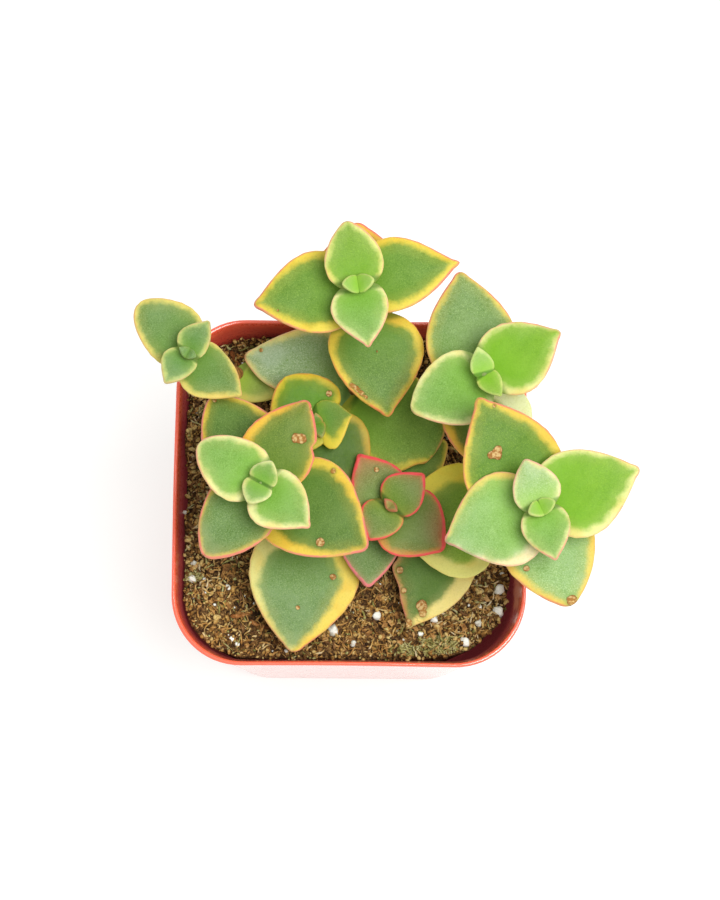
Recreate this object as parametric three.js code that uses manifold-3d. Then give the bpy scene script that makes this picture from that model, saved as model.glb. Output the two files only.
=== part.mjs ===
// A variegated Crassula pellucida in a small square nursery pot.
// Millimetres, +Z up. The origin is the centre of the pot's flat underside.

import * as THREE from 'three';
import { mergeVertices } from 'three/addons/utils/BufferGeometryUtils.js';
import Module from 'manifold-3d';

const wasm = await Module();
wasm.setup();

// The pot: thin moulded plastic with round corners, sides that lean out and a small lip.
const POT_HEIGHT = 55;
const RIM_WIDTH = 57;
const BASE_WIDTH = 45;
const CORNER_SHARE = 0.4;
const WALL = 0.9;
const FLOOR = 1.2;
const FOOT_ROUND = 0.8;
const LIP_HEIGHT = 3;
const LIP_STEP = 0.35;
const RIM_ROUND = 0.3;
const DRAIN_RADIUS = 2.2;
const DRAIN_OFFSET = 12.5;

// Steps round the pot and the share of them that lies in its corners.
const POT_STEPS = 36;
const POT_ARC_SHARE = 8 / 9;

// Air between pieces that rest on or in each other, and between the soil and the pot's wall.
const CLEARANCE = 0.3;
const SOIL_GAP = 0.5;

// The soil: its level below the rim, its slope, how rough it is and how far it sinks at the wall.
const SOIL_DROP = 5;
const SOIL_TILT = [-0.04, 0.02];
const SOIL_ROUGH = 0.4;
const SOIL_EDGE_DIP = 0.7;
const SOIL_STEPS = 40;
const SOIL_RINGS = 10;
const SOIL_ARC_SHARE = 6 / 10;

// The grit that stands out of the soil: stones of random size, stretched and partly sunk.
const GRIT_COUNT = 26;
const GRIT_RADIUS = [0.5, 1.15];
const GRIT_STRETCH = [0.7, 1.3, 1.4];
const GRIT_SUNK = 0.7;
const GRIT_FROM_WALL = 2.5;
const GRIT_FROM_STEM = 3;
const GRIT_CORNER_LIMIT = 1.6;
const GRIT_SEED = 11;

// Stems thin towards the tip and reach down into the soil.
const STEM_RADIUS = [1.15, 0.75];
const ROOT_DEPTH = 8;

// A blade is a fleshy sheet with a blunt rim. Longer blades are thicker.
const BLADE_THICKNESS = 0.62;
const BLADE_THICKNESS_PER_LENGTH = 0.045;
const BLADE_THICKEST_SHARE = 1.3;
const BLADE_ROOT = 0.6;
const BLADE_WIDEST = 0.38;
const BLADE_RIM = 0.86;
const BLADE_CUP = 0.07;
const BLADE_DROOP = 10;
const BLADE_BASE = 0.6;
const BLADE_POINT = 0.78;
const SMALL_BLADE = 5.5;

// Each shoot has the points of its stem and its blades, which grow in opposite pairs.
// A point is x, y and the height above the rim. A blade is its height on the stem above the rim,
// its heading and rise in degrees, its length and width, and what is special about it:
// droop arches it down, roll lifts its left side, a low point is blunt and a high one is drawn out,
// and a bite is a place on its edge that has been lost: side, place, span and depth.
const SHOOTS = {
  shoot_back: {
    color: '#8db86a',
    stem: [[0.5, 15.5, -5], [0.5, 15.5, 2], [1.7, 25.5, 13.5], [1, 27.5, 22], [1, 26.5, 29]],
    blades: [
      [3, 162, 5, 18.7, 14.5, { roll: -12 }],
      [3, -41, 5, 17, 16.5, { roll: 8, point: 0.5 }],
      [13.5, -74, -5, 17, 16.5, { roll: -8, point: 0.9 }],
      [13.5, 92, 12, 15.5, 16],
      [23.5, -170, 0, 16.5, 13, { point: 0.9 }],
      [23.5, 14.5, 3, 16.5, 12.5, { point: 1.15 }],
      [27, 101, 14, 10, 9.2],
      [27, -80, 0, 10, 9.2, { point: 0.95 }],
      [28.4, -171, 32, 2.8, 2.6],
      [28.4, 5, 30, 2.8, 2.6],
    ],
  },
  shoot_back_left: {
    color: '#86ad63',
    stem: [[-17.5, 18.5, -5], [-18.5, 19, 1.5], [-23.5, 19.3, 10], [-25.5, 18.5, 16], [-25.5, 17.2, 21]],
    blades: [
      [1.5, -31, 2, 7.5, 7],
      [16, 136, 5, 11.5, 10, { point: 0.5 }],
      [16, -39, 0, 10.5, 10],
      [19.3, 57, 14, 6.2, 5],
      [19.3, -125, 9, 6.2, 5.4],
      [20.6, 150, 35, 2, 1.8],
      [20.6, -30, 35, 2, 1.8],
    ],
  },
  shoot_back_right: {
    color: '#92c269',
    stem: [[16, 12.5, -5], [17, 13, 2], [20, 15, 12], [21, 15, 19.5], [20.6, 13.8, 23.2]],
    blades: [
      [13, 100, 8, 18, 14.5, { point: 0.85 }],
      [13, -80, -4, 15.5, 13.5],
      [19.5, -152, -2, 13, 12.2, { point: 0.7 }],
      [19.5, 28, 8, 13.5, 11.8],
      [22.4, 107, 20, 4.2, 4.2],
      [22.4, -56, 8, 4.8, 4.2],
    ],
  },
  shoot_right: {
    color: '#8dbd69',
    stem: [[17, -8.5, -5], [17.5, -8.5, -1], [23.4, -4.8, 5.5], [28.7, -6, 20], [29.1, -8.4, 28.2]],
    blades: [
      [-1, -121, -7, 15.5, 12.2, { point: 1.2, bites: [[-1, 0.45, 0.06, 0.1], [-1, 0.7, 0.08, 0.2]] }],
      [-1, 60, 5, 10, 8],
      [5.5, 186, -6, 15.5, 18, { droop: 4, point: 0.55 }],
      [5.5, 8, 8, 13, 11],
      [20, 121, 20, 19, 16, { point: 0.95 }],
      [20, -69, -3, 16.8, 14.8, { point: 0.65 }],
      [24, -159, -4, 15.5, 14.8, { point: 0.9 }],
      [24, 20, 4, 16.5, 13.8, { point: 0.92 }],
      [27, 108, 11, 7.8, 7.6],
      [27, -74, 0, 8.5, 7.6, { point: 0.9 }],
      [27.8, -160, 32, 2.4, 2.4],
      [27.8, 20, 32, 2.4, 2.4],
    ],
  },
  shoot_centre: {
    color: '#7f9a5c',
    stem: [[3.2, -3, -5], [3.2, -3, 0.8], [6.4, -4, 6.5], [6.5, -4.5, 9.6]],
    blades: [
      [1, -92, 9, 13.5, 10.5, { roll: -6 }],
      [1, 44, 2, 15.5, 9.5],
      [6.5, 121, 6, 10, 9.2, { point: 0.9 }],
      [6.5, -38, 0, 11, 12],
      [8.6, 44, 12, 7.5, 7],
      [8.6, -123, 3, 6.5, 7],
      [9.3, 135, 38, 2, 1.7],
      [9.3, -45, 38, 2, 1.7],
    ],
  },
  shoot_left: {
    color: '#88b566',
    stem: [[-7, -6.5, -5], [-7.4, -6.5, 2.5], [-13.2, -2, 12.5], [-13.8, -2.6, 18], [-13.7, -4, 24.6]],
    blades: [
      [2, -95, -6, 20, 17.2, { roll: -10, point: 0.85 }],
      [2, 90, -3, 10, 9],
      [12.5, 121, 0, 17, 13.5, { point: 0.6 }],
      [12.5, -32, 4, 19, 15.6],
      [18, 61, 6, 14.8, 12],
      [18, -128, -6, 15, 12.2, { point: 0.65 }],
      [22, 149, 3, 11.4, 10.6, { point: 0.55 }],
      [22, -43, 3, 10.3, 9.8],
      [23.8, 65, 25, 3.8, 3.8],
      [23.8, -120, 12, 3.8, 3.8],
    ],
  },
  shoot_small: {
    color: '#93ac5a',
    stem: [[-5.5, 7.8, -5], [-5.5, 8, 2], [-5.5, 9.3, 7], [-5.3, 9, 9.6]],
    blades: [
      [7, 126, 15, 8.4, 11.5, { droop: 35, point: 0.55 }],
      [7, -47, -8, 12, 11],
      [8.7, 6, 11, 6.7, 7.6],
      [8.7, -136, 5, 4, 4.5],
      [9.3, 96, 40, 1.8, 1.7],
      [9.3, -84, 40, 1.8, 1.7],
    ],
  },
};

const radians = THREE.MathUtils.degToRad;
const lerp = THREE.MathUtils.lerp;

// A closed three.js geometry as a solid that can be joined and cut.
function solid(geometry) {
  geometry.deleteAttribute('normal');
  geometry.deleteAttribute('uv');
  const merged = mergeVertices(geometry, 1e-4);
  const mesh = new wasm.Mesh({
    numProp: 3,
    vertProperties: new Float32Array(merged.attributes.position.array),
    triVerts: new Uint32Array(merged.index.array),
  });
  return new wasm.Manifold(mesh);
}

// A solid as a named mesh with its own material.
function sceneMesh(name, body, look) {
  const cut = body.getMesh();
  const geometry = new THREE.BufferGeometry();
  geometry.setAttribute('position', new THREE.BufferAttribute(cut.vertProperties, cut.numProp));
  geometry.setIndex(new THREE.BufferAttribute(cut.triVerts, 1));
  geometry.computeVertexNormals();
  const mesh = new THREE.Mesh(geometry, new THREE.MeshStandardMaterial(look));
  mesh.name = name;
  return mesh;
}

// Moves each vertex of a geometry by a function of where it is.
function shape(geometry, place) {
  const position = geometry.attributes.position;
  const point = new THREE.Vector3();
  for (let i = 0; i < position.count; i += 1) {
    point.fromBufferAttribute(position, i);
    place(point, i);
    position.setXYZ(i, point.x, point.y, point.z);
  }
  return geometry;
}

// A repeatable stream of random numbers from 0 to 1.
function randomStream(seed) {
  let state = seed;
  return () => {
    state = (state + 0x6d2b79f5) | 0;
    let mixed = Math.imul(state ^ (state >>> 15), 1 | state);
    mixed = (mixed + Math.imul(mixed ^ (mixed >>> 7), 61 | mixed)) ^ mixed;
    return ((mixed ^ (mixed >>> 14)) >>> 0) / 4294967296;
  };
}

// The pot's outer half width at a height, without the lip.
function potHalf(z) {
  return lerp(BASE_WIDTH / 2, RIM_WIDTH / 2 - LIP_STEP, z / POT_HEIGHT);
}

// A point on a rounded square. Turn runs from 0 to 1, and arcShare of each quarter is its corner.
function roundedSquare(turn, half, corner, arcShare) {
  const quarter = Math.floor(turn * 4 + 1e-9);
  const step = turn * 4 - quarter;
  const centre = half - corner;
  const bend = Math.min(step / arcShare, 1);
  const along = Math.max((step - arcShare) / (1 - arcShare), 0);
  const angle = (bend * Math.PI) / 2;
  const point = new THREE.Vector2(Math.cos(angle), Math.sin(angle)).multiplyScalar(corner);
  point.add(new THREE.Vector2(centre - 2 * centre * along, centre));
  return point.rotateAround(new THREE.Vector2(), (quarter * Math.PI) / 2);
}

// A closed body with rounded square sections. Each profile entry is a half width and a height,
// and heightOf can move a vertex up or down from there.
function squareLathe(profile, steps, arcShare, heightOf = (x, y, z) => z) {
  const points = profile.map(([half, z]) => new THREE.Vector2(half, z));
  const geometry = new THREE.LatheGeometry(points, steps);
  return shape(geometry, (point, i) => {
    const [half, z] = profile[i % profile.length];
    const ring = Math.floor(i / profile.length) % steps;
    const at = roundedSquare(ring / steps, half, half * CORNER_SHARE, arcShare);
    point.set(at.x, at.y, heightOf(at.x, at.y, z));
  });
}

function makePot() {
  const lipBase = POT_HEIGHT - LIP_HEIGHT;
  const rimHalf = RIM_WIDTH / 2;
  const profile = [
    [0, 0],
    [BASE_WIDTH / 2 - FOOT_ROUND, 0],
    [BASE_WIDTH / 2 - FOOT_ROUND * 0.3, FOOT_ROUND * 0.3],
    [potHalf(FOOT_ROUND), FOOT_ROUND],
    [potHalf(lipBase), lipBase],
    [potHalf(lipBase) + LIP_STEP, lipBase + LIP_STEP],
    [rimHalf, POT_HEIGHT - RIM_ROUND],
    [rimHalf - RIM_ROUND, POT_HEIGHT],
    [rimHalf - WALL + RIM_ROUND * 0.5, POT_HEIGHT],
    [rimHalf - WALL, POT_HEIGHT - RIM_ROUND],
    [potHalf(lipBase) - WALL, lipBase],
    [potHalf(FLOOR) - WALL, FLOOR],
    [0, FLOOR],
  ];
  let pot = solid(squareLathe(profile, POT_STEPS, POT_ARC_SHARE));
  for (const [x, y] of [[1, 1], [-1, 1], [-1, -1], [1, -1]]) {
    const drill = new THREE.CylinderGeometry(DRAIN_RADIUS, DRAIN_RADIUS, FLOOR * 4, 16);
    drill.rotateX(Math.PI / 2);
    drill.translate(x * DRAIN_OFFSET, y * DRAIN_OFFSET, 0);
    pot = pot.subtract(solid(drill));
  }
  return pot;
}

// The height of the soil's surface: low waves that cross each other, and a dip along the wall.
function soilHeight(x, y) {
  const edge = Math.max(Math.abs(x), Math.abs(y)) / (RIM_WIDTH / 2);
  const waves =
    Math.sin(0.34 * x + 1.3) * Math.cos(0.41 * y - 0.4) +
    0.8 * Math.sin(0.53 * x - 0.37 * y) +
    0.5 * Math.cos(0.47 * x + 0.62 * y + 2);
  const level = POT_HEIGHT - SOIL_DROP + SOIL_TILT[0] * x + SOIL_TILT[1] * y;
  return level + SOIL_ROUGH * waves - SOIL_EDGE_DIP * edge ** 6;
}

function makeSoil(stems) {
  const bottom = FLOOR + CLEARANCE;
  const top = POT_HEIGHT - SOIL_DROP;
  const topHalf = potHalf(top) - WALL - SOIL_GAP;
  const profile = [[0, bottom], [potHalf(bottom) - WALL - SOIL_GAP, bottom]];
  for (let ring = 0; ring <= SOIL_RINGS; ring += 1) {
    profile.push([topHalf * (1 - ring / SOIL_RINGS), top]);
  }
  const settle = (x, y, z) => (z === top ? soilHeight(x, y) : z);
  let soil = solid(squareLathe(profile, SOIL_STEPS, SOIL_ARC_SHARE, settle));
  const random = randomStream(GRIT_SEED);
  const reach = topHalf - GRIT_FROM_WALL;
  for (let i = 0; i < GRIT_COUNT; i += 1) {
    const x = lerp(-reach, reach, random());
    const y = lerp(-reach, reach, random());
    const radius = lerp(GRIT_RADIUS[0], GRIT_RADIUS[1], random());
    const bit = new THREE.IcosahedronGeometry(radius, 0);
    bit.rotateX(2 * Math.PI * random());
    bit.rotateZ(2 * Math.PI * random());
    bit.scale(1, lerp(GRIT_STRETCH[0], GRIT_STRETCH[1], random()), GRIT_STRETCH[2]);
    bit.translate(x, y, soilHeight(x, y) - radius * GRIT_SUNK);
    const inCorner = Math.abs(x) + Math.abs(y) > reach * GRIT_CORNER_LIMIT;
    const nearStem = stems.some(([footX, footY]) => Math.hypot(x - footX, y - footY) < GRIT_FROM_STEM);
    if (!inCorner && !nearStem) {
      soil = soil.add(solid(bit));
    }
  }
  return soil;
}

// The line of a stem, from its foot in the soil to its tip.
function stemCurve(stem, deeper = 0) {
  const [footX, footY, footZ] = stem[0];
  const buried = [footX, footY, footZ - ROOT_DEPTH - deeper];
  const points = [buried, ...stem].map(([x, y, z]) => new THREE.Vector3(x, y, z + POT_HEIGHT));
  return new THREE.CatmullRomCurve3(points, false, 'centripetal');
}

// A stem as a round rod along its line. Grow makes it fatter and deeper, for the hole it stands in.
function stemRod(stem, grow = 0) {
  const curve = stemCurve(stem, grow);
  const steps = 3 * stem.length;
  const rod = new THREE.CylinderGeometry(1, 1, 1, 6, steps);
  const centre = new THREE.Vector3();
  const across = new THREE.Vector3();
  const side = new THREE.Vector3();
  return shape(rod, (point) => {
    const t = THREE.MathUtils.clamp(point.y + 0.5, 0, 1);
    const radius = lerp(STEM_RADIUS[0], STEM_RADIUS[1], t) + grow;
    const tangent = curve.getTangent(t);
    curve.getPoint(t, centre);
    across.set(1, 0, 0).cross(tangent).normalize();
    side.crossVectors(across, tangent);
    const [u, v] = [point.x * radius, point.z * radius];
    point.copy(centre).addScaledVector(across, u).addScaledVector(side, v);
  });
}

// The point of a stem at a height above the rim.
function stemPointAt(curve, height) {
  let [low, high] = [0, 1];
  for (let i = 0; i < 30; i += 1) {
    const middle = (low + high) / 2;
    const under = curve.getPoint(middle).z < height + POT_HEIGHT;
    if (under) {
      low = middle;
    } else {
      high = middle;
    }
  }
  return curve.getPoint(low);
}

// Half the width of a blade, as a share, at a place along it, less what its edge has lost.
function bladeOutline(along, side, point, bites) {
  const stretch = Math.log(0.5) / Math.log(BLADE_WIDEST);
  const bulge = Math.sin(Math.PI * along ** stretch);
  let half = Math.max(bulge, 0) ** lerp(BLADE_BASE, point, along);
  for (const [biteSide, place, span, depth] of bites) {
    if (Math.sign(side) === biteSide) {
      half *= 1 - depth * Math.exp(-(((along - place) / span) ** 2));
    }
  }
  return half;
}

// A blade is a sphere whose poles are its root and its tip. Every ring is pressed into a flat
// section with a blunt rim, bent along the blade's arch and turned to its heading.
function bladeShape(root, heading, rise, length, width, special = {}) {
  const { droop = BLADE_DROOP, roll = 0, point = BLADE_POINT, bites = [] } = special;
  const small = length < SMALL_BLADE;
  const around = small ? 6 : 8;
  const rings = small ? 5 : 8;
  const full = length + BLADE_ROOT;
  const thickness = BLADE_THICKNESS + BLADE_THICKNESS_PER_LENGTH * length;
  const start = radians(rise + droop / 2);
  const bend = radians(droop);
  const blade = new THREE.SphereGeometry(1, around, rings);
  const turn = new THREE.Matrix4()
    .makeTranslation(root)
    .multiply(new THREE.Matrix4().makeRotationZ(radians(heading)))
    .multiply(new THREE.Matrix4().makeRotationX(radians(roll)));
  return shape(blade, (vertex) => {
    const along = THREE.MathUtils.clamp(Math.acos(THREE.MathUtils.clamp(vertex.y, -1, 1)) / Math.PI, 0, 1);
    const ring = Math.sin(Math.PI * along);
    const [across, up] = ring > 1e-6 ? [vertex.x / ring, vertex.z / ring] : [0, 0];
    const side = THREE.MathUtils.clamp(across, -1, 1);
    const onRim = Math.abs(up) < 0.1;
    const share = onRim ? Math.sign(side) : Math.sign(Math.round(side * 10)) * BLADE_RIM;
    const half = (width / 2) * bladeOutline(along, share, point, bites);
    const thickHere = Math.min(thickness, BLADE_THICKEST_SHARE * half);
    const thick = onRim ? 0 : (Math.sign(up) * thickHere) / 2;
    const angle = start - bend * along;
    const reach = (Math.sin(start) - Math.sin(angle)) / bend;
    const climb = (Math.cos(angle) - Math.cos(start)) / bend;
    const lift = thick + BLADE_CUP * half * share * share;
    vertex.set(
      full * reach - BLADE_ROOT - lift * Math.sin(angle),
      share * half,
      full * climb + lift * Math.cos(angle),
    );
    vertex.applyMatrix4(turn);
  });
}

function makeShoot({ stem, blades }) {
  const curve = stemCurve(stem);
  let shoot = solid(stemRod(stem));
  for (const [height, heading, rise, length, width, special] of blades) {
    const root = stemPointAt(curve, height);
    shoot = shoot.add(solid(bladeShape(root, heading, rise, length, width, special)));
  }
  return shoot;
}

const plant = new THREE.Group();

plant.add(sceneMesh('pot', makePot(), { color: '#e0563f', roughness: 0.3, metalness: 0 }));

let soil = makeSoil(Object.values(SHOOTS).map(({ stem }) => stem[0]));
for (const { stem } of Object.values(SHOOTS)) {
  soil = soil.subtract(solid(stemRod(stem, CLEARANCE)));
}
plant.add(sceneMesh('soil', soil, { color: '#5d4526', roughness: 0.95, metalness: 0 }));

for (const [name, shoot] of Object.entries(SHOOTS)) {
  const look = { color: shoot.color, roughness: 0.55, metalness: 0 };
  plant.add(sceneMesh(name, makeShoot(shoot), look));
}

export default plant;
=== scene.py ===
# %% [markdown]
# # A variegated Crassula pellucida in a small square pot
# Seven leafy stems stand in fibrous peat in a glossy terracotta-red nursery pot, seen from almost
# straight above on a white table. The packed part holds the sizes and the places. This lesson gives
# each piece its fine shape and its finish.

# %% Load the packed part
import math
import random

import bmesh
import bpy
import numpy as np
from mathutils import Matrix, Vector, noise


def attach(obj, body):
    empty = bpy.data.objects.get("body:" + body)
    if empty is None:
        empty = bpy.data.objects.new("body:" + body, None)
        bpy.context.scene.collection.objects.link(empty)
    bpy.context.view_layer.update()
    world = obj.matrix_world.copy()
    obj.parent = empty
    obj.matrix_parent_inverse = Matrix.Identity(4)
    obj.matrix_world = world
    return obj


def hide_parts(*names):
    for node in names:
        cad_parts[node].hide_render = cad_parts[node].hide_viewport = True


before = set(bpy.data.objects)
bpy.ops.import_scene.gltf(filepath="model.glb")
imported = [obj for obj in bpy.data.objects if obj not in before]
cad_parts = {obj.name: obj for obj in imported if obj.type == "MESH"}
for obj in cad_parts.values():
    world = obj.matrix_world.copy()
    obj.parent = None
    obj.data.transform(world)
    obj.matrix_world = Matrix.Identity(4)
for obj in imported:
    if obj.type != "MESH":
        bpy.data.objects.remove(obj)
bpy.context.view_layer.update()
print("nodes:", sorted(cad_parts))

# %% [markdown]
# ## Sizes
# The plant is small, so every size below is in millimetres, as in the part itself, and a finished
# mesh is scaled to metres once. The pot's sides lean out, so its half width grows with height.

# %% Driving sizes in millimetres
MM = 0.001
POT_HEIGHT = 55.0
RIM_WIDTH = 57.0
BASE_WIDTH = 45.0
CORNER_SHARE = 0.4
WALL = 0.66
FLOOR = 1.2
LIP_HEIGHT = 3.0
LIP_STEP = 0.35
DRAIN_RADIUS = 2.2
DRAIN_OFFSET = 12.5
SOIL_DROP = 5.0


def lerp(a, b, share):
    return a + (b - a) * share


def pot_half(z):
    return lerp(BASE_WIDTH / 2, RIM_WIDTH / 2 - LIP_STEP, z / POT_HEIGHT)


print("half widths:", [round(pot_half(z), 2) for z in (0, 25, 50)])

# %% [markdown]
# ## The camera
# The photograph looks down on the pot from nearly half a metre, tilted a little, so that a sliver of
# the front wall shows. The lens is long, which keeps tall leaves from looking much larger than the
# rim. The camera aims at a point beside the rim's centre, and needs no lens shift.

# %% Camera
PICTURE_SIZE = (720, 900)
SENSOR_WIDTH = 36.0
FOCAL_PIXELS = 2962.0
RIM_CENTRE_PIXEL = (350.2, 491.5)
CAMERA_FROM_RIM = 480.0
CAMERA_TILT = math.radians(12)
CAMERA_ROLL = math.radians(0.5)
CLIP_DISTANCES = (0.01, 50)


def camera_frame():
    back = Vector((0, -math.sin(CAMERA_TILT), math.cos(CAMERA_TILT)))
    right = Vector((1, 0, 0))
    up = back.cross(right)
    place = Vector((0, 0, POT_HEIGHT)) + back * CAMERA_FROM_RIM
    mm_per_pixel = CAMERA_FROM_RIM / FOCAL_PIXELS
    aside = (PICTURE_SIZE[0] / 2 - RIM_CENTRE_PIXEL[0]) * mm_per_pixel
    above = (RIM_CENTRE_PIXEL[1] - PICTURE_SIZE[1] / 2) * mm_per_pixel
    target = Vector((0, 0, POT_HEIGHT)) + right * aside + up * above
    back = (place - target).normalized()
    right = up.cross(back).normalized()
    up = back.cross(right)
    turned_right = right * math.cos(CAMERA_ROLL) + up * math.sin(CAMERA_ROLL)
    turned_up = up * math.cos(CAMERA_ROLL) - right * math.sin(CAMERA_ROLL)
    return place, turned_right, turned_up, back


CAMERA_PLACE, RIGHT, UP, BACK = camera_frame()


def seen_at(pixel, z):
    """The point at a height that the photograph shows at a pixel."""
    aside = (pixel[0] - PICTURE_SIZE[0] / 2) / FOCAL_PIXELS
    above = (PICTURE_SIZE[1] / 2 - pixel[1]) / FOCAL_PIXELS
    ray = RIGHT * aside + UP * above - BACK
    return CAMERA_PLACE + ray * ((z - CAMERA_PLACE.z) / ray.z)


def add_object(name, data):
    """Puts a new object with this data into the scene."""
    made = bpy.data.objects.new(name, data)
    bpy.context.scene.collection.objects.link(made)
    return made


camera_data = bpy.data.cameras.new("camera")
camera_data.sensor_width = SENSOR_WIDTH
camera_data.lens = FOCAL_PIXELS * SENSOR_WIDTH / max(PICTURE_SIZE)
camera_data.clip_start, camera_data.clip_end = CLIP_DISTANCES
camera = add_object("camera", camera_data)
turn = Matrix((RIGHT, UP, BACK)).transposed().to_4x4()
camera.matrix_world = Matrix.Translation(CAMERA_PLACE * MM) @ turn
bpy.context.scene.camera = camera
print("lens in mm:", round(camera_data.lens, 2), "camera in mm:", [round(v, 1) for v in CAMERA_PLACE])

# %% [markdown]
# ## Colour
# The photograph is so bright that its white table burns out. A colour picked as it looks there is
# therefore brighter than the real surface, and `paint` takes it down by one shared measure.

# %% Colours as seen
EXPOSURE = 1.62


def linear(code):
    values = [int(code[i : i + 2], 16) / 255 for i in (1, 3, 5)]
    return [v / 12.92 if v < 0.04045 else ((v + 0.055) / 1.055) ** 2.4 for v in values]


def paint(code):
    return (*[v / EXPOSURE for v in linear(code)], 1.0)


print("leaf green:", [round(v, 3) for v in paint("#7da750")])

# %% [markdown]
# ## Materials as sums
# A finish is a tree of shader nodes. It could be wired by hand, node by node, but a mask made of
# five sums would then take ten lines. `Wire` wraps one socket and turns sums on it into Math nodes,
# so a mask reads like arithmetic.


# %% Wire
class Wire:
    """A socket that can stand in a sum."""

    def __init__(self, finish, socket):
        self.finish = finish
        self.socket = socket

    def math(self, operation, first, second):
        return self.finish.node("Math", {"operation": operation}, {0: first, 1: second})

    def __add__(self, other):
        return self.math("ADD", self, other)

    def __sub__(self, other):
        return self.math("SUBTRACT", self, other)

    def __rsub__(self, other):
        return self.math("SUBTRACT", other, self)

    def __mul__(self, other):
        return self.math("MULTIPLY", self, other)

    def __truediv__(self, other):
        return self.math("DIVIDE", self, other)

    def larger(self, other):
        return self.math("MAXIMUM", self, other)

    __radd__ = __add__
    __rmul__ = __mul__


SUMS = ("add", "sub", "mul", "div")
print("sums on a wire:", [name for name in vars(Wire) if name.rstrip("_")[-3:] in SUMS])

# %% [markdown]
# `Finish` holds one material. Its `node` method makes any node from its type, its settings and its
# inputs, and an input may be a number, a colour or a wire. The other methods are the few steps that
# all finishes here are built of: cloudy noise, a mask with soft edges, and a blend of two colours.


# %% Finish
class Finish:
    """One material and the nodes in it."""

    def __init__(self, name):
        self.material = bpy.data.materials.new(name)
        self.material.use_nodes = True
        self.tree = self.material.node_tree
        self.tree.nodes.clear()
        self.surface = self.tree.nodes.new("ShaderNodeBsdfPrincipled")
        output = self.tree.nodes.new("ShaderNodeOutputMaterial")
        self.tree.links.new(self.surface.outputs["BSDF"], output.inputs["Surface"])
        self.place = self.node("TexCoord", output="Object")

    def feed(self, socket, value):
        if isinstance(value, Wire):
            self.tree.links.new(value.socket, socket)
        else:
            socket.default_value = value

    def node(self, kind, settings=None, inputs=None, output=0):
        made = self.tree.nodes.new("ShaderNode" + kind)
        for key, value in (settings or {}).items():
            if key == "stops":
                ramp = made.color_ramp
                while len(ramp.elements) < len(value):
                    ramp.elements.new(1.0)
                for element, (position, colour) in zip(ramp.elements, value):
                    element.position = position
                    element.color = colour
            else:
                setattr(made, key, value)
        for key, value in (inputs or {}).items():
            self.feed(made.inputs[key], value)
        return Wire(self, made.outputs[output])

    def set(self, **values):
        """Feeds the Principled shader's sockets, with _ for each space of a name."""
        for key, value in values.items():
            self.feed(self.surface.inputs[key.replace("_", " ")], value)

    def attribute(self, name, output="Fac"):
        return self.node("Attribute", {"attribute_name": name}, output=output)

    def grain(self, size_mm, detail=2.0, roughness=0.5, vector=None):
        """Cloudy noise from 0 to 1 with spots of about this size."""
        inputs = {
            "Vector": vector or self.place,
            "Scale": 1 / (size_mm * MM),
            "Detail": detail,
            "Roughness": roughness,
        }
        return self.node("TexNoise", {}, inputs)

    def step(self, value, low, high):
        """Goes smoothly from 0 at low to 1 at high, also where low is the larger."""
        inputs = {"Value": value, "From Min": low, "From Max": high}
        return self.node("MapRange", {"interpolation_type": "SMOOTHSTEP"}, inputs)

    def blend(self, share, a, b, kind="MIX"):
        settings = {"data_type": "RGBA", "blend_type": kind, "clamp_factor": True}
        return self.node("Mix", settings, {0: share, 6: a, 7: b}, 2)

    def tint(self, colour, factors):
        """Multiplies a colour's red, green and blue by three factors."""
        return self.blend(1.0, colour, (*factors, 1), "MULTIPLY")

    def axis(self, name):
        """The place along one axis, in mm."""
        return self.node("SeparateXYZ", {}, {"Vector": self.place}, name) / MM

    def relief(self, height, depth_mm, below=None):
        """Bumps on the surface, on top of the relief below if one is given."""
        inputs = {"Strength": 1.0, "Distance": depth_mm * MM, "Height": height}
        if below:
            inputs["Normal"] = below
        return self.node("Bump", {}, inputs)


print("a finish can:", [name for name in vars(Finish) if not name.startswith("_")])

# %% [markdown]
# ## Table and light
# A white table fills the picture, and it burns out except for a faint grey shadow at the left. The
# table glows a little, which keeps the shadow pale and free of the pot's red.

# %% Table
TABLE_SIZE = 6.0
TABLE_GLOW = 0.68
TABLE_WHITE = (0.37, 0.385, 0.375, 1)
TABLE_LIGHT = (1, 1, 0.98, 1)


def to_mesh(name, bm):
    """Turns a bmesh into a mesh, and frees it."""
    mesh = bpy.data.meshes.new(name)
    bm.to_mesh(mesh)
    bm.free()
    return mesh


bm = bmesh.new()
bmesh.ops.create_grid(bm, x_segments=1, y_segments=1, size=TABLE_SIZE / 2)
table = add_object("table", to_mesh("table", bm))
white = Finish("table_white")
white.set(
    Base_Color=TABLE_WHITE,
    Roughness=0.9,
    Specular_IOR_Level=0.0,
    Emission_Color=TABLE_LIGHT,
    Emission_Strength=TABLE_GLOW,
)
table.data.materials.append(white.material)
print("table is", TABLE_SIZE, "m wide")

# %% [markdown]
# A bright even sky does half of the lighting, as in a room with white walls. One soft lamp, high at
# the right, gives the shadow its side and reaches down between the leaves.

# %% Sky and lamp
SKY_STRENGTH = 0.68
LAMP_WATTS = 9.6
LAMP_SIZE = 0.62
LAMP_DISTANCE = 0.95
LAMP_DIRECTION = Vector((0.34, -0.1, 1.0))
world = bpy.data.worlds.new("sky")
world.use_nodes = True
sky = world.node_tree.nodes["Background"].inputs
sky["Color"].default_value = (1, 1, 1, 1)
sky["Strength"].default_value = SKY_STRENGTH
bpy.context.scene.world = world
lamp_data = bpy.data.lights.new("lamp", "AREA")
lamp_data.shape = "DISK"
lamp_data.size = LAMP_SIZE
lamp_data.energy = LAMP_WATTS
lamp = add_object("lamp", lamp_data)
lamp.location = LAMP_DIRECTION.normalized() * LAMP_DISTANCE
lamp.rotation_euler = LAMP_DIRECTION.to_track_quat("Z", "Y").to_euler()
bpy.context.scene.view_settings.view_transform = "Standard"
print("lamp at", [round(v, 2) for v in lamp.location])

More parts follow.
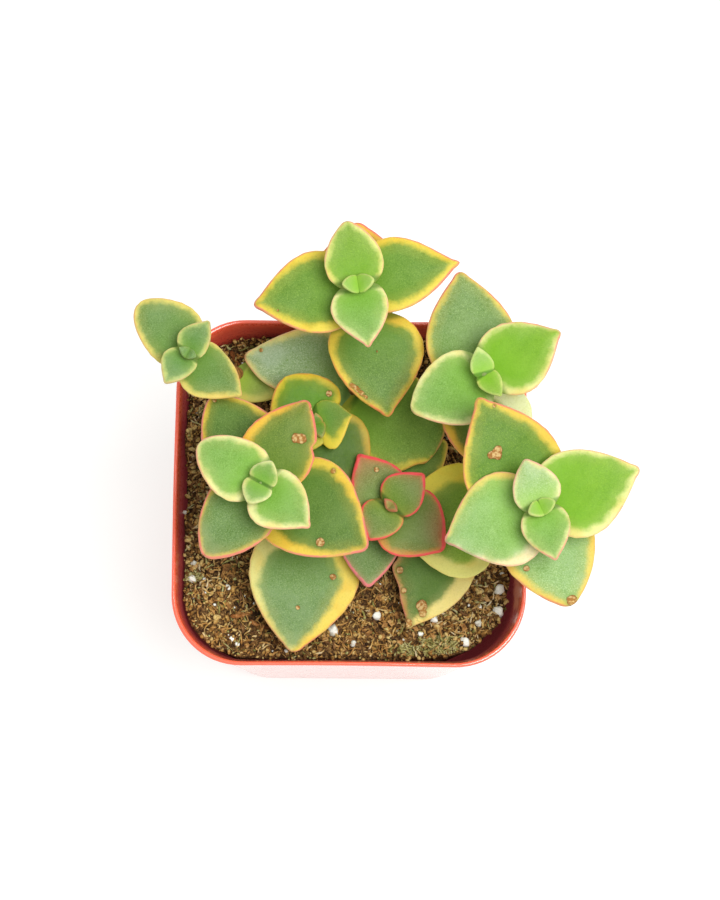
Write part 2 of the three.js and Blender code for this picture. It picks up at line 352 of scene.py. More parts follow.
# %% [markdown]
# ## Turning a bmesh into a piece
# Each piece is modelled in millimetres. `make_piece` scales it, keeps what was noted for each vertex
# as attributes that the materials read, gives it its finish, ties it to the root body that it moves
# with, and hides the part's node that it replaces.


# %% Piece helpers
def gather(pile, part):
    """Moves a small bmesh into a large one. Operators are quick on small ones only."""
    mesh = to_mesh("part", part)
    pile.from_mesh(mesh)
    bpy.data.meshes.remove(mesh)


def make_piece(name, bm, finish, replaces=None, notes=None, smooth=True):
    """Makes an object of a bmesh in mm. Notes are values for each vertex, or colours."""
    bmesh.ops.scale(bm, vec=(MM, MM, MM), verts=bm.verts)
    mesh = to_mesh(name, bm)
    for key, values in (notes or {}).items():
        values = np.asarray(values, dtype=np.float32)
        kind, field = ("FLOAT", "value") if values.ndim == 1 else ("FLOAT_COLOR", "color")
        layer = mesh.attributes.new(key, kind, "POINT")
        layer.data.foreach_set(field, values.ravel())
    mesh.materials.append(finish.material)
    if smooth:
        mesh.shade_smooth()
    piece = add_object(name, mesh)
    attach(piece, "root")
    if replaces:
        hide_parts(replaces)
    print(name, "has", sum(len(p.vertices) - 2 for p in mesh.polygons), "triangles")
    return piece


# %% [markdown]
# ## The pot
# A square nursery pot is moulded in one piece: a thin wall with large round corners, a slightly wider
# band at the rim, a rounded foot and a few drain holes. A circle of vertices is laid out on a rounded
# square and extruded ring by ring along the wall's profile, outside up and inside down. Its rim is
# never quite true on a real pot, so it waves a little.


# %% Rounded square
def rounded_square(turn, half, arc_share=0.5):
    """A point on a square with round corners. Turn runs from 0 to 1."""
    quarter = math.floor(turn * 4 + 1e-9)
    step = turn * 4 - quarter
    corner = half * CORNER_SHARE
    centre = half - corner
    angle = min(step / arc_share, 1) * math.pi / 2
    along = max((step - arc_share) / (1 - arc_share), 0)
    x = centre - 2 * centre * along + math.cos(angle) * corner
    y = centre + math.sin(angle) * corner
    return Matrix.Rotation(quarter * math.pi / 2, 3, "Z") @ Vector((x, y, 0))


def in_square(x, y, half):
    """Whether a place lies inside the rounded square of this half width."""
    corner = half * CORNER_SHARE
    dx = max(abs(x) - (half - corner), 0)
    dy = max(abs(y) - (half - corner), 0)
    return math.hypot(dx, dy) < corner


print("an eighth of the way around the rim:", rounded_square(0.125, RIM_WIDTH / 2))

# %% Pot profile
FOOT_ROUND = 0.8
RIM_ROUND = 0.3
FLOOR_ROUND = 1.0
WALL_RINGS = (14, 28, 42)


def arc(centre, radius, start, end, steps):
    """Profile points on a quarter circle, as half width and height."""
    angles = [math.radians(lerp(start, end, i / steps)) for i in range(steps + 1)]
    return [(centre[0] + radius * math.cos(a), centre[1] + radius * math.sin(a)) for a in angles]


def pot_profile():
    """Half width and height of each ring, and whether the ring lies on the inside."""
    lip, rounding = POT_HEIGHT - LIP_HEIGHT, POT_HEIGHT - RIM_ROUND
    outside = arc((BASE_WIDTH / 2 - FOOT_ROUND + 0.08, FOOT_ROUND), FOOT_ROUND, -90, 0, 4)
    outside += [(pot_half(z), z) for z in (*WALL_RINGS, lip - 0.15)]
    outside += [(pot_half(lip) + LIP_STEP * 0.6, lip + 0.05), (pot_half(lip) + LIP_STEP, lip + 0.3)]
    outside += arc((RIM_WIDTH / 2 - RIM_ROUND, rounding), RIM_ROUND, 0, 90, 3)
    inner = RIM_WIDTH / 2 - WALL
    inside = arc((inner + RIM_ROUND, rounding), RIM_ROUND, 90, 180, 3)
    inside += [(pot_half(z) - WALL, z) for z in (lip, *WALL_RINGS[::-1], FLOOR + 1.2)]
    inside += arc((pot_half(FLOOR) - WALL - FLOOR_ROUND, FLOOR + FLOOR_ROUND), FLOOR_ROUND, 0, -90, 3)
    return [(*point, 0.0) for point in outside] + [(*point, 1.0) for point in inside]


print(len(pot_profile()), "profile points")

# %% Pot shell
POT_STEPS = 4 * 32
RIM_GROWTH = 0.1
RIM_WAVES = [(1, 0.094, 0.93), (2, 0.075, 1.32), (3, 0.025, 1.84), (4, 0.045, 1.73), (6, 0.071, -2.11)]


def rim_wave(turn, z):
    """How far the wall stands out of true at a place around it, in mm."""
    around = turn * 2 * math.pi
    waves = sum(size * math.sin(order * around + phase) for order, size, phase in RIM_WAVES)
    return (RIM_GROWTH + waves) * (z / POT_HEIGHT) ** 3


def pot_point(turn, half, z):
    point = rounded_square(turn, half + rim_wave(turn, z))
    point.z = z
    return point


def closed(bm):
    """Fills what is open, and turns all faces outwards."""
    bmesh.ops.holes_fill(bm, edges=[e for e in bm.edges if e.is_boundary], sides=0)
    bmesh.ops.recalc_face_normals(bm, faces=bm.faces)
    return bm


def pot_shell():
    bm = bmesh.new()
    turn_of = bm.verts.layers.float.new("turn")
    inside_of = bm.verts.layers.float.new("inside")
    first = bmesh.ops.create_circle(bm, segments=POT_STEPS, radius=1)["verts"]
    profile = pot_profile()
    for i, vert in enumerate(first):
        vert[turn_of] = i / POT_STEPS
        vert.co = pot_point(vert[turn_of], *profile[0][:2])
    loop = bm.edges[:]
    for half, z, inside in profile[1:]:
        grown = bmesh.ops.extrude_edge_only(bm, edges=loop)["geom"]
        fresh = {v for v in grown if isinstance(v, bmesh.types.BMVert)}
        loop = [e for e in grown if isinstance(e, bmesh.types.BMEdge) and set(e.verts) <= fresh]
        for vert in fresh:
            vert.co = pot_point(vert[turn_of], half, z)
            vert[inside_of] = inside
    return closed(bm)


pot_bm = pot_shell()
print("the shell has", len(pot_bm.faces), "faces")

# %% [markdown]
# The drain holes come last. A Boolean modifier takes four rods out of the closed shell, and it keeps
# what was noted on the vertices, so the finish still knows the inside from the outside.


# %% Drain holes
def drill():
    """Four rods where the drain holes go."""
    bm = bmesh.new()
    size = {"radius1": DRAIN_RADIUS, "radius2": DRAIN_RADIUS, "depth": FLOOR * 4}
    for x, y in ((1, 1), (-1, 1), (-1, -1), (1, -1)):
        place = Matrix.Translation((x * DRAIN_OFFSET, y * DRAIN_OFFSET, 0))
        bmesh.ops.create_cone(bm, cap_ends=True, segments=32, matrix=place, **size)
    return bm


def cut(bm, cutter_bm):
    """Takes one closed body out of another with a Boolean modifier, and gives back a bmesh."""
    part, cutter = [add_object("body", to_mesh("body", body)) for body in (bm, cutter_bm)]
    modifier = part.modifiers.new("drill", "BOOLEAN")
    modifier.operation = "DIFFERENCE"
    modifier.object = cutter
    evaluated = part.evaluated_get(bpy.context.evaluated_depsgraph_get())
    result = bmesh.new()
    result.from_mesh(evaluated.to_mesh())
    evaluated.to_mesh_clear()
    for item in (part, cutter):
        bpy.data.objects.remove(item)
    return result


pot_bm = cut(pot_bm, drill())
inside_of = pot_bm.verts.layers.float["inside"]
print(sum(vert[inside_of] > 0.5 for vert in pot_bm.verts), "vertices on the inside")

# %% [markdown]
# The plastic is glossy and saturated. Seen at a grazing angle, its wall mirrors the bright table and
# turns almost white, which the shader's own Fresnel does. Fingers and potting leave faint smudges, so
# the roughness varies, and soil dust sticks to the inside above the peat. The rim's top band is painted
# a lighter red as painted light. The inside wall below the rim is painted dark as painted shade, less
# at the back, which is painted as lit, and that painted shade has a faint red emission as a painted
# glow. The `inside` attribute tells the inside apart.

# %% Pot finish
POT_RED = (0.72, 0.088, 0.038, 1)
POT_RED_DEEP = (0.62, 0.07, 0.03, 1)
LIT_RIM_RED = (0.9, 0.12, 0.058, 1)
SHADED_RED = (0.3, 0.035, 0.032, 1)
BLACK = (0.0, 0.0, 0.0, 1)
PAINTED_INNER_GLOW = (0.055, 0.0075, 0.0085, 1)
DUST = (0.7, 0.33, 0.17, 1)
DUST_PATCH = tuple(seen_at((512, 590), POT_HEIGHT - 3) * MM)


def pot_finish():
    f = Finish("pot_plastic")
    height = f.axis("Z")
    clouds = f.grain(9, 3)
    smudge = f.step(f.grain(3.5, 4, 0.65), 0.52, 0.72)
    red = f.blend(clouds * 0.5, POT_RED, POT_RED_DEEP)
    # Painted light: the rim's top band is painted a lighter red, where light falls on it.
    red = f.blend(f.step(height, POT_HEIGHT - 2.2, POT_HEIGHT - 0.4), red, LIT_RIM_RED)

    inside = f.attribute("inside")
    # Painted shade: the inside wall below the rim is painted dark red, and less dark at the back, which is
    # painted as lit.
    low = f.step(height, POT_HEIGHT - 0.6, POT_HEIGHT - 2.4)
    lit_back = f.step(f.axis("Y"), 18, 25) * 0.75
    shaded = inside * low * (1 - lit_back)
    red = f.blend(shaded, red, SHADED_RED)
    dust = f.step(f.grain(0.5, 3), 0.5, 0.68) * inside
    deep = f.step(height, POT_HEIGHT - 1.0, POT_HEIGHT - SOIL_DROP)
    patch = f.node("VectorMath", {"operation": "DISTANCE"}, {0: f.place, 1: DUST_PATCH}, "Value") / MM
    patch = f.step(patch + (f.grain(1.1, 3, 0.7) - 0.5) * 6, 4.2, 2.0) * inside * low
    dusty = f.blend(dust * deep * 0.4, red, paint("#6d4a30"))
    dusty = f.blend(patch * 0.7, dusty, DUST)
    scuff = f.step(f.grain(0.22, 1), 0.7, 0.76) * f.step(height, POT_HEIGHT - 0.5, POT_HEIGHT)
    f.set(
        Base_Color=f.blend(scuff * 0.4, dusty, paint("#f7a58c")),
        Roughness=0.26 + smudge * 0.14 + dust * 0.35 + inside * low * 0.15,
        Normal=f.relief(f.grain(1.6, 2), 0.006),
        Specular_IOR_Level=0.5,
        Coat_Weight=(1 - inside * low * 0.8) * 0.8,
        Coat_Roughness=0.06,
        Coat_IOR=1.62,
        # Painted glow: a faint red emission on the painted shade of the inside wall.
        Emission_Color=f.blend(shaded, BLACK, PAINTED_INNER_GLOW),
        Emission_Strength=1.0,
        Subsurface_Weight=0.06,
        Subsurface_Scale=0.0006,
        Subsurface_Radius=(1.0, 0.3, 0.15),
    )
    return f


pot = make_piece("pot_moulding", pot_bm, pot_finish(), "pot")
pot.data.set_sharp_from_angle(angle=math.radians(35))

# %% [markdown]
# ## The peat
# Potting mix is no smooth surface: it is a mat of crumbs and curled fibres, lit from above and nearly
# black in its gaps. The mat is a fine grid whose square is pulled into the pot's rounded square, with
# low waves, crumbs and a sunken edge. Watering has heaped the peat at the front left and along the left
# wall, and it has shrunk from the wall at the front right. Then come loose crumbs, fibres, bark flakes
# and white perlite as meshes of their own, because their shadows make the texture.

# %% Soil level
SOIL_TILT = (-0.04, 0.02)
SOIL_ROUGH = 0.4
SOIL_EDGE_DIP = 0.5
HEAPS = [((-21.0, -21.0), 9.0, 3.0), ((-27.0, 9.0), 3.2, 2.4), ((-27.0, -6.0), 4.0, 1.0)]
SOIL_GAP = 0.2
SOIL_HALF = pot_half(POT_HEIGHT - SOIL_DROP) - WALL - SOIL_GAP
SHRUNK_PLACE = (20.0, -21.0)
SHRUNK_REACH = 8.0
SHRUNK_SHARE = 0.055
SHRUNK_DIP = 18.0


def hill(x, y, place, reach):
    """A smooth round hill: 1 at its place, and near 0 past its reach."""
    return math.exp(-(((x - place[0]) ** 2 + (y - place[1]) ** 2) / reach**2))


def shrunk(x, y):
    """The share by which the soil has shrunk from the wall here."""
    return SHRUNK_SHARE * hill(x, y, SHRUNK_PLACE, SHRUNK_REACH)


def soil_level(x, y):
    """The height of the peat without its crumbs."""
    edge = max(abs(x), abs(y)) / (RIM_WIDTH / 2)
    waves = math.sin(0.34 * x + 1.3) * math.cos(0.41 * y - 0.4)
    waves += 0.8 * math.sin(0.53 * x - 0.37 * y) + 0.5 * math.cos(0.47 * x + 0.62 * y + 2)
    level = POT_HEIGHT - SOIL_DROP + SOIL_TILT[0] * x + SOIL_TILT[1] * y
    heap = sum(height * hill(x, y, place, reach) for place, reach, height in HEAPS)
    return level + SOIL_ROUGH * waves + heap - (SOIL_EDGE_DIP + SHRUNK_DIP * shrunk(x, y)) * edge**6


def into_rounded_square(u, v):
    """Pulls a point of the square from -1 to 1 in, so that the square's corners turn round."""
    reach = max(abs(u), abs(v))
    if reach < 1e-9:
        return 0.0, 0.0
    small = min(abs(u), abs(v)) / reach
    straight = 1 - CORNER_SHARE
    angle = max(small - straight, 0) / CORNER_SHARE * math.pi / 4
    big = straight + CORNER_SHARE * math.cos(angle)
    if small > straight:
        small = straight + CORNER_SHARE * math.sin(angle)
    a, b = (big, small) if abs(u) >= abs(v) else (small, big)
    return math.copysign(a * reach, u), math.copysign(b * reach, v)


print("soil level in the middle:", round(soil_level(0, 0), 2))

# %% Peat mat
PEAT_GRID = 210
PEAT_EDGE = 0.97
PEAT_EDGE_FALL = 0.7
PEAT_FRAY = 0.012


def bumps(x, y, size, layer):
    """Smooth noise from -1 to 1 whose bumps are about this many mm wide."""
    return noise.noise(Vector((x / size, y / size, layer)))


def crumb_relief(x, y):
    """The mat's hollows, lumps, crumbs and bits, as four layers of noise."""
    hollows = max(bumps(x, y, 4.5, 7.0) - 0.12, 0)
    lumps = bumps(x, y, 2.4, 3.0)
    crumbs = abs(bumps(x, y, 0.9, 9.0))
    bits = bumps(x, y, 0.45, 5.0)
    return 0.6 * lumps + 0.7 * crumbs + 0.32 * bits - 2.4 * hollows


def peat_mat():
    bm = bmesh.new()
    bmesh.ops.create_grid(bm, x_segments=PEAT_GRID, y_segments=PEAT_GRID, size=1)
    rim = [e for e in bm.edges if e.is_boundary]
    for vert in bm.verts:
        edge = max(abs(vert.co.x), abs(vert.co.y))
        x, y = into_rounded_square(vert.co.x, vert.co.y)
        ragged = 1 - PEAT_FRAY * edge**12 * (0.5 + noise.noise(Vector((x * 9, y * 9, 1.0))))
        level = soil_level(x * SOIL_HALF, y * SOIL_HALF)
        half = pot_half(level) - WALL - SOIL_GAP
        pull = 1 - shrunk(x * half, y * half) * edge**4
        x, y = x * half * ragged * pull, y * half * ragged * pull
        fall = PEAT_EDGE_FALL * max(edge - PEAT_EDGE, 0) / (1 - PEAT_EDGE)
        vert.co = (x, y, soil_level(x, y) + crumb_relief(x, y) - fall)
    grown = bmesh.ops.extrude_edge_only(bm, edges=rim)["geom"]
    bottom = FLOOR + 0.3
    shrink = (pot_half(bottom) - WALL - SOIL_GAP) / SOIL_HALF
    for vert in grown:
        if isinstance(vert, bmesh.types.BMVert):
            vert.co = (vert.co.x * shrink, vert.co.y * shrink, bottom)
    return closed(bm)


peat_bm = peat_mat()
print("the mat has", len(peat_bm.verts), "vertices")

# %% [markdown]
# Peat is plant matter on its way to soil, so no crumb has quite the colour of the next. Cloudy noise
# runs through a ramp of four browns, and dark specks break it up. All soil pieces share this recipe
# with browns of their own. The `tone` attribute shifts a piece's browns, and on the loose pieces it also
# paints the peat paler along the left edge, as painted light where the leaves shade it, and at the front
# right.

# %% Peat finish
PEAT_RAMP = (0.32, 0.46, 0.56, 0.68)


def peat_finish(name, codes, size_mm, dark=0.35, bump_mm=0.12):
    """Brown plant matter: a ramp from dark to light brown over cloudy noise, with dark specks."""
    f = Finish(name)
    cloud = f.grain(size_mm, 4, 0.62) * 0.75 + f.grain(size_mm * 4, 2) * 0.25 + f.attribute("tone")
    stops = [(place, paint(code)) for place, code in zip(PEAT_RAMP, codes)]
    colour = f.node("ValToRGB", {"stops": stops}, {"Fac": cloud})
    specks = f.step(f.grain(0.25, 2), 0.52, 0.66)
    f.set(
        Base_Color=f.blend(specks * dark, colour, paint("#2a1a0e")),
        Roughness=0.92,
        Normal=f.relief(f.grain(0.3, 3, 0.7), bump_mm),
        Specular_IOR_Level=0.25,
    )
    return f


def painted_light_lift(x, y):
    """How much paler the peat is painted: along the left edge, as painted light where leaves shade it, and at
    the front right.
    """
    left = min(max((-20 - x) / 5, 0), 1)
    right = min(max((x - 4) / 14, 0), 1) * min(max((4 - y) / 14, 0), 1)
    return 0.07 * left + 0.07 * right


def make_soil(name, bm, finish, tones=0.0, smooth=True):
    """A loose soil piece whose vertices note how light their peat is."""
    # Painted light: loose peat is painted paler along the left edge, where the leaves shade it.
    dry = np.array([painted_light_lift(vert.co.x, vert.co.y) for vert in bm.verts])
    make_piece(name, bm, finish, None, {"tone": dry + np.array(tones)}, smooth)


PEAT = peat_finish("peat", ["#2c1a0c", "#5c3e20", "#9c7440", "#d4a866"], 0.45, bump_mm=0.3)
make_piece("peat", peat_bm, PEAT, "soil")

# %% [markdown]
# ### Strands
# A fibre, a moss shoot and a plant's stem are all thin rods on a bent line. A small sphere is the
# cheapest closed rod: its poles become the ends and its rings slide along the line. The same mapping,
# with other formulas, will make the leaves.


# %% Rod from a sphere
def rod(pile, line, radius, sides=4, rings=5):
    """Wraps a sphere round a line. Line and radius are functions of the share from 0 to 1."""
    bm = bmesh.new()
    verts = bmesh.ops.create_uvsphere(bm, u_segments=sides, v_segments=rings, radius=1)["verts"]
    for vert in verts:
        share = math.acos(max(-1.0, min(1.0, -vert.co.z))) / math.pi
        ring = math.hypot(vert.co.x, vert.co.y)
        around = (vert.co.x / ring, vert.co.y / ring) if ring > 1e-6 else (0.0, 0.0)
        centre = line(share)
        tangent = (line(min(share + 0.01, 1)) - line(max(share - 0.01, 0))).normalized()
        across = tangent.cross(Vector((0.3, 0.1, 0.95))).normalized()
        side = tangent.cross(across)
        vert.co = centre + (across * around[0] + side * around[1]) * radius(share)
    heights = np.array([v.co.z for v in bm.verts])
    gather(pile, bm)
    return heights


def in_pot(x, y, margin):
    """Whether a place lies inside the soil's outline, at least a margin from its edge."""
    return in_square(x, y, SOIL_HALF * (1 - shrunk(x, y)) - margin)


def soil_spots(rng, count, margin):
    """Random places on the soil."""
    spots = []
    while len(spots) < count:
        x, y = rng.uniform(-SOIL_HALF, SOIL_HALF), rng.uniform(-SOIL_HALF, SOIL_HALF)
        if in_pot(x, y, margin):
            spots.append((x, y))
    return spots


def peat_top(x, y):
    """The height of the peat with its crumbs."""
    return soil_level(x, y) + crumb_relief(x, y)


print("peat top in the middle:", round(peat_top(0, 0), 2))

# %% Fibres
FIBRE_RADIUS = (0.07, 0.22)
FIBRE_SHORTEST = 0.6
FIBRE_LONGER = 2.1
FIBRES = {
    "fibres_dark": (900, ["#4c3018", "#7d5632", "#a07446", "#b98c58"], 21),
    "fibres_brown": (2300, ["#a46e36", "#c8904a", "#e2b064", "#f2cc88"], 22),
    "fibres_gold": (1500, ["#cc9646", "#ecbc68", "#fcdc98", "#fff0c8"], 23),
    "fibres_olive": (600, ["#7c7a3c", "#a8a054", "#ccc47c", "#e4e0ac"], 24),
}


def fibre(bm, rng, x, y, lift=0.0):
    length = FIBRE_SHORTEST + FIBRE_LONGER * rng.random() ** 2.6
    thick = rng.uniform(*FIBRE_RADIUS)
    heading = rng.uniform(0, 2 * math.pi)
    along = Vector((math.cos(heading), math.sin(heading), rng.uniform(-0.25, 0.3)))
    aside = Vector((-math.sin(heading), math.cos(heading), 0))
    bow = rng.uniform(-0.6, 0.6) * length
    arch = rng.uniform(0.0, 0.25) * length
    curl = rng.uniform(-0.1, 0.1) * length
    start = Vector((x, y, peat_top(x, y) + rng.uniform(-0.1, 0.6) + lift))

    def line(share):
        sway = bow * (share * share - share) + curl * math.sin(2 * math.pi * share)
        bend = aside * sway + Vector((0, 0, arch * 4 * share * (1 - share)))
        return start + along * (length * (share - 0.5)) + bend

    def radius(share):
        return thick * (1.15 - 0.7 * share)

    if in_pot(*line(0)[:2], 0.05) and in_pot(*line(1)[:2], 0.05):
        rod(bm, line, radius, 4, 5)


for name, (count, codes, seed) in FIBRES.items():
    rng = random.Random(seed)
    bm = bmesh.new()
    for x, y in soil_spots(rng, count, 0.2):
        fibre(bm, rng, x, y)
    make_soil(name, bm, peat_finish(name, codes, 1.2, 0.2))


# %% [markdown]
# ### Crumbs and flakes
# Crumbs are small icospheres, stretched at random. Flakes of bark are thin boxes that lie at odd
# angles.

# %% Crumbs and flakes
FULL_TURN = 6.28


def spin(rng, axis, low=0, high=FULL_TURN):
    """A turn about an axis by a random angle."""
    return Matrix.Rotation(rng.uniform(low, high), 4, axis)


def tumble(rng):
    return spin(rng, "Z") @ spin(rng, "X") @ spin(rng, "Y")


def crumb(pile, rng, tones, x, y, size, spread):
    """One crumb. Its tone shifts it towards the dark or the light end of its colours."""
    stretch = Matrix.Diagonal((rng.uniform(0.6, 1.6), rng.uniform(0.6, 1.2), 0.8, 1))
    place = Matrix.Translation((x, y, peat_top(x, y) + size * rng.uniform(0.1, 0.7)))
    bm = bmesh.new()
    matrix = place @ tumble(rng) @ stretch
    made = bmesh.ops.create_icosphere(bm, subdivisions=1, radius=size, matrix=matrix)["verts"]
    tones += [rng.uniform(-spread, spread)] * len(made)
    gather(pile, bm)


def crumbs(count, seed, small, large):
    rng = random.Random(seed)
    pile = bmesh.new()
    tones = []
    for x, y in soil_spots(rng, count, 0.0):
        crumb(pile, rng, tones, x, y, lerp(small, large, rng.random() ** 2), 0.16)
    return pile, tones


def flakes(count, seed):
    rng = random.Random(seed)
    pile = bmesh.new()
    for x, y in soil_spots(rng, count, 1.2):
        shape = Matrix.Diagonal((rng.uniform(0.5, 1.7), rng.uniform(0.3, 0.8), rng.uniform(0.1, 0.2), 1))
        lean = spin(rng, "X", -0.5, 0.5) @ spin(rng, "Y", -0.4, 0.4)
        spun = spin(rng, "Z")
        place = Matrix.Translation((x, y, peat_top(x, y) + rng.uniform(0.1, 0.4)))
        bm = bmesh.new()
        made = bmesh.ops.create_cube(bm, size=1, matrix=place @ spun @ lean @ shape)["verts"]
        for vert in made:
            vert.co += Vector((rng.uniform(-0.2, 0.2), rng.uniform(-0.2, 0.2), 0))
        gather(pile, bm)
    return pile


CRUMBS = peat_finish("crumbs", ["#3a2612", "#94682f", "#d2a052", "#f8d88a"], 0.6, 0.25)
OLIVES = peat_finish("olives", ["#4a4420", "#85803c", "#b4ac5c", "#dcd890"], 0.6, 0.25)
FLAKES = peat_finish("flakes", ["#6a4626", "#a8763e", "#d49e5a", "#eec080"], 1.1, 0.25)
pile, tones = crumbs(7600, 31, 0.12, 0.55)
make_soil("peat_crumbs", pile, CRUMBS, tones=tones)
pile, tones = crumbs(2000, 33, 0.12, 0.36)
make_soil("peat_crumbs_olive", pile, OLIVES, tones=tones)
make_soil("bark_flakes", flakes(420, 32), FLAKES, smooth=False)

# %% [markdown]
# ### Perlite
# Perlite is white volcanic glass puffed up by heat, so its grains are icospheres with a noisy
# surface. The biggest ones lie where the photograph shows them, each given by its pixel and its
# width in mm, and the camera's own geometry takes the pixel to a place on the soil.

# %% Perlite
PERLITE_SEEN = [
    (377, 615, 1.25), (353, 643, 1.0), (333, 631, 1.5), (479, 622, 1.0),
    (499, 610, 1.3), (500, 588, 1.4), (465, 640, 1.2), (434, 619, 1.0),
    (421, 633, 0.75), (232, 641, 0.8), (192, 580, 1.1), (205, 582, 0.6),
    (229, 591, 0.7), (194, 564, 0.7), (186, 514, 0.6), (216, 609, 0.5),
    (238, 647, 0.7), (207, 596, 0.45), (286, 651, 0.6), (247, 609, 0.45),
    (480, 606, 0.6), (397, 630, 0.5), (234, 594, 0.45), (245, 598, 0.4),
]
PERLITE_RADIUS_PER_WIDTH = 0.66


def perlite(seed, loose):
    rng = random.Random(seed)
    pile = bmesh.new()
    grains = []
    for *pixel, width in PERLITE_SEEN:
        point = seen_at(pixel, POT_HEIGHT - SOIL_DROP)
        grains.append((point.x, point.y, width * PERLITE_RADIUS_PER_WIDTH))
    grains += [(x, y, rng.uniform(0.14, 0.36)) for x, y in soil_spots(rng, loose, 0.9)]
    for x, y, size in grains:
        stretch = Matrix.Diagonal((rng.uniform(0.8, 1.25), rng.uniform(0.8, 1.1), 0.85, 1))
        place = Matrix.Translation((x, y, peat_top(x, y) + size * 0.45))
        matrix = place @ tumble(rng) @ stretch
        detail = 2 if size > 0.4 else 1
        bm = bmesh.new()
        made = bmesh.ops.create_icosphere(bm, subdivisions=detail, radius=size, matrix=matrix)["verts"]
        centre = Vector((x, y, peat_top(x, y)))
        for vert in made:
            puff = 0.5 * noise.noise(vert.co * 1.9) + 0.2 * noise.noise(vert.co * 5)
            vert.co += (vert.co - centre) * puff
        gather(pile, bm)
    return pile


def perlite_finish():
    f = Finish("perlite")
    grey = f.step(f.grain(0.9, 3), 0.4, 0.7)
    stain = f.step(f.grain(2.5, 3, 0.6), 0.5, 0.62)
    colour = f.blend(grey * 0.6, (0.86, 0.86, 0.76, 1), paint("#d8d8c8"))
    f.set(
        Base_Color=f.blend(stain * 0.5, colour, paint("#b0a880")),
        Roughness=0.75,
        Normal=f.relief(f.grain(0.25, 3, 0.7), 0.08),
    )
    return f


make_piece("perlite", perlite(41, 110), perlite_finish())

# %% [markdown]
# ### Moss and twigs
# Where peat stays damp, moss starts to grow. A patch of it is a low mound of tiny olive crumbs with
# a strand here and there. The twigs are rods with a slight bow.

# %% Moss and twigs
MOSS_SEEN = [(440, 646, 3.2), (410, 649, 1.6), (195, 578, 1.4), (205, 412, 1.3)]
MOSS_BITS_PER_MM = 110
TWIGS_SEEN = [((231, 352), (257, 379)), ((230, 618), (262, 607)), ((249, 622), (280, 628))]
TWIG_RADIUS = 0.36


def moss_clumps(seed):
    """Mounds of tiny olive crumbs with a few strands."""
    rng = random.Random(seed)
    pile = bmesh.new()
    tones = []
    for *pixel, reach in MOSS_SEEN:
        centre = seen_at(pixel, POT_HEIGHT - SOIL_DROP)
        for i in range(int(MOSS_BITS_PER_MM * reach)):
            around, out = rng.uniform(0, FULL_TURN), reach * math.sqrt(rng.random())
            x, y = centre.x + out * math.cos(around), centre.y + out * math.sin(around) * 0.6
            if not in_pot(x, y, 0.5):
                continue
            if i % 4:
                crumb(pile, rng, tones, x, y, rng.uniform(0.12, 0.34), 0.14)
            else:
                before = len(pile.verts)
                fibre(pile, rng, x, y, 0.4 * (1 - out / reach))
                tones += [0.05] * (len(pile.verts) - before)
    return pile, tones


def twigs():
    pile = bmesh.new()
    for start, end in TWIGS_SEEN:
        points = [seen_at(pixel, POT_HEIGHT - SOIL_DROP) for pixel in (start, end)]
        ends = [Vector((p.x, p.y, peat_top(p.x, p.y) + 0.5)) for p in points]
        bow = (ends[1] - ends[0]).cross(Vector((0, 0, 1))) * 0.12

        def line(share):
            return ends[0].lerp(ends[1], share) + bow * (4 * share * (1 - share))

        rod(pile, line, lambda share: TWIG_RADIUS * (1.1 - 0.5 * share), 8, 14)
    return pile


MOSS = peat_finish("moss", ["#4c481e", "#8c8440", "#bcb264", "#e0d898"], 0.7, 0.2)
TWIGS = peat_finish("twigs", ["#5c3218", "#8e5426", "#bd7a3c", "#dba266"], 0.8, 0.3)
pile, tones = moss_clumps(51)
make_soil("moss_clumps", pile, MOSS, tones=tones)
make_soil("twigs", twigs(), TWIGS)

# %% [markdown]
# ## A leaf blade
# A blade is fleshy: a flat lens with a blunt rim, widest near a third of its length, cupped a little
# and bent down along its arch. Again a sphere is the start. Its poles become the leaf's root and tip,
# and its rings are pressed into thin sections. The formulas are the part's own, so that the fine blade
# lies on the solid that it replaces; here they have more rings and a gentle unevenness.

# %% Blade outline
BLADE_THICKNESS = 0.62
BLADE_THICKNESS_PER_LENGTH = 0.045
BLADE_THICKEST_SHARE = 1.3
BLADE_ROOT = 0.6
BLADE_WIDEST = 0.38
BLADE_CUP = 0.07
BLADE_DROOP = 10
BLADE_BASE = 0.6
BLADE_POINT = 0.78


def outline(along, side, point, bites, fullness=(1, 1)):
    """Half the width of a blade as a share, less what its edge has lost. Works on arrays."""
    stretch = math.log(0.5) / math.log(BLADE_WIDEST)
    bulge = np.maximum(np.sin(np.pi * along**stretch), 0)
    blunt = np.clip((along - 0.94) / 0.06, 0, 1) * 0.5
    half = bulge ** (lerp(BLADE_BASE, point, along) - (point - 0.5) * blunt)
    sides = np.where(side > 0, fullness[0], fullness[1])
    half = half * (1 + (sides - 1) * np.sin(np.pi * np.clip(along, 0, 1)))
    for bite_side, place, span, depth in bites:
        on_side = np.sign(side) == bite_side
        half = half * np.where(on_side, 1 - depth * np.exp(-(((along - place) / span) ** 2)), 1)
    return half


def blade_arch(along, rise, droop):
    """Reach and climb along the middle of a blade of length 1, and the slope there."""
    start, bend = math.radians(rise + droop / 2), math.radians(droop)
    angle = start - bend * along
    return (math.sin(start) - np.sin(angle)) / bend, (np.cos(angle) - math.cos(start)) / bend, angle


widest = outline(np.array(BLADE_WIDEST), 1, BLADE_POINT, [])
print("share of the full width at", BLADE_WIDEST, "of the length:", round(float(widest), 3))

# %% [markdown]
# ### What a material needs to know
# The variegation follows the leaf's edge, not the world: a cream or yellow margin that is wide on one
# side and thin on the other, and a pink line right at the rim. A material can't measure that, so each
# vertex notes it, and an attribute carries it:
# - `rim` is how far the vertex lies from the blade's edge, and `lead` how deep it is in the margin.
# - `flesh`, `margin` and `line` are the blade's colours, `blush` is the strength of its pink line, and
#   `frost` is how pale and waxy its skin is.
# - `scar_way` and `scar_far` are the way and the distance to the nearest scar, in scar radii.
# - `young` is 1 at the blade's root, `under` is 1 on its underside, and `skin` is 1 on old stem.

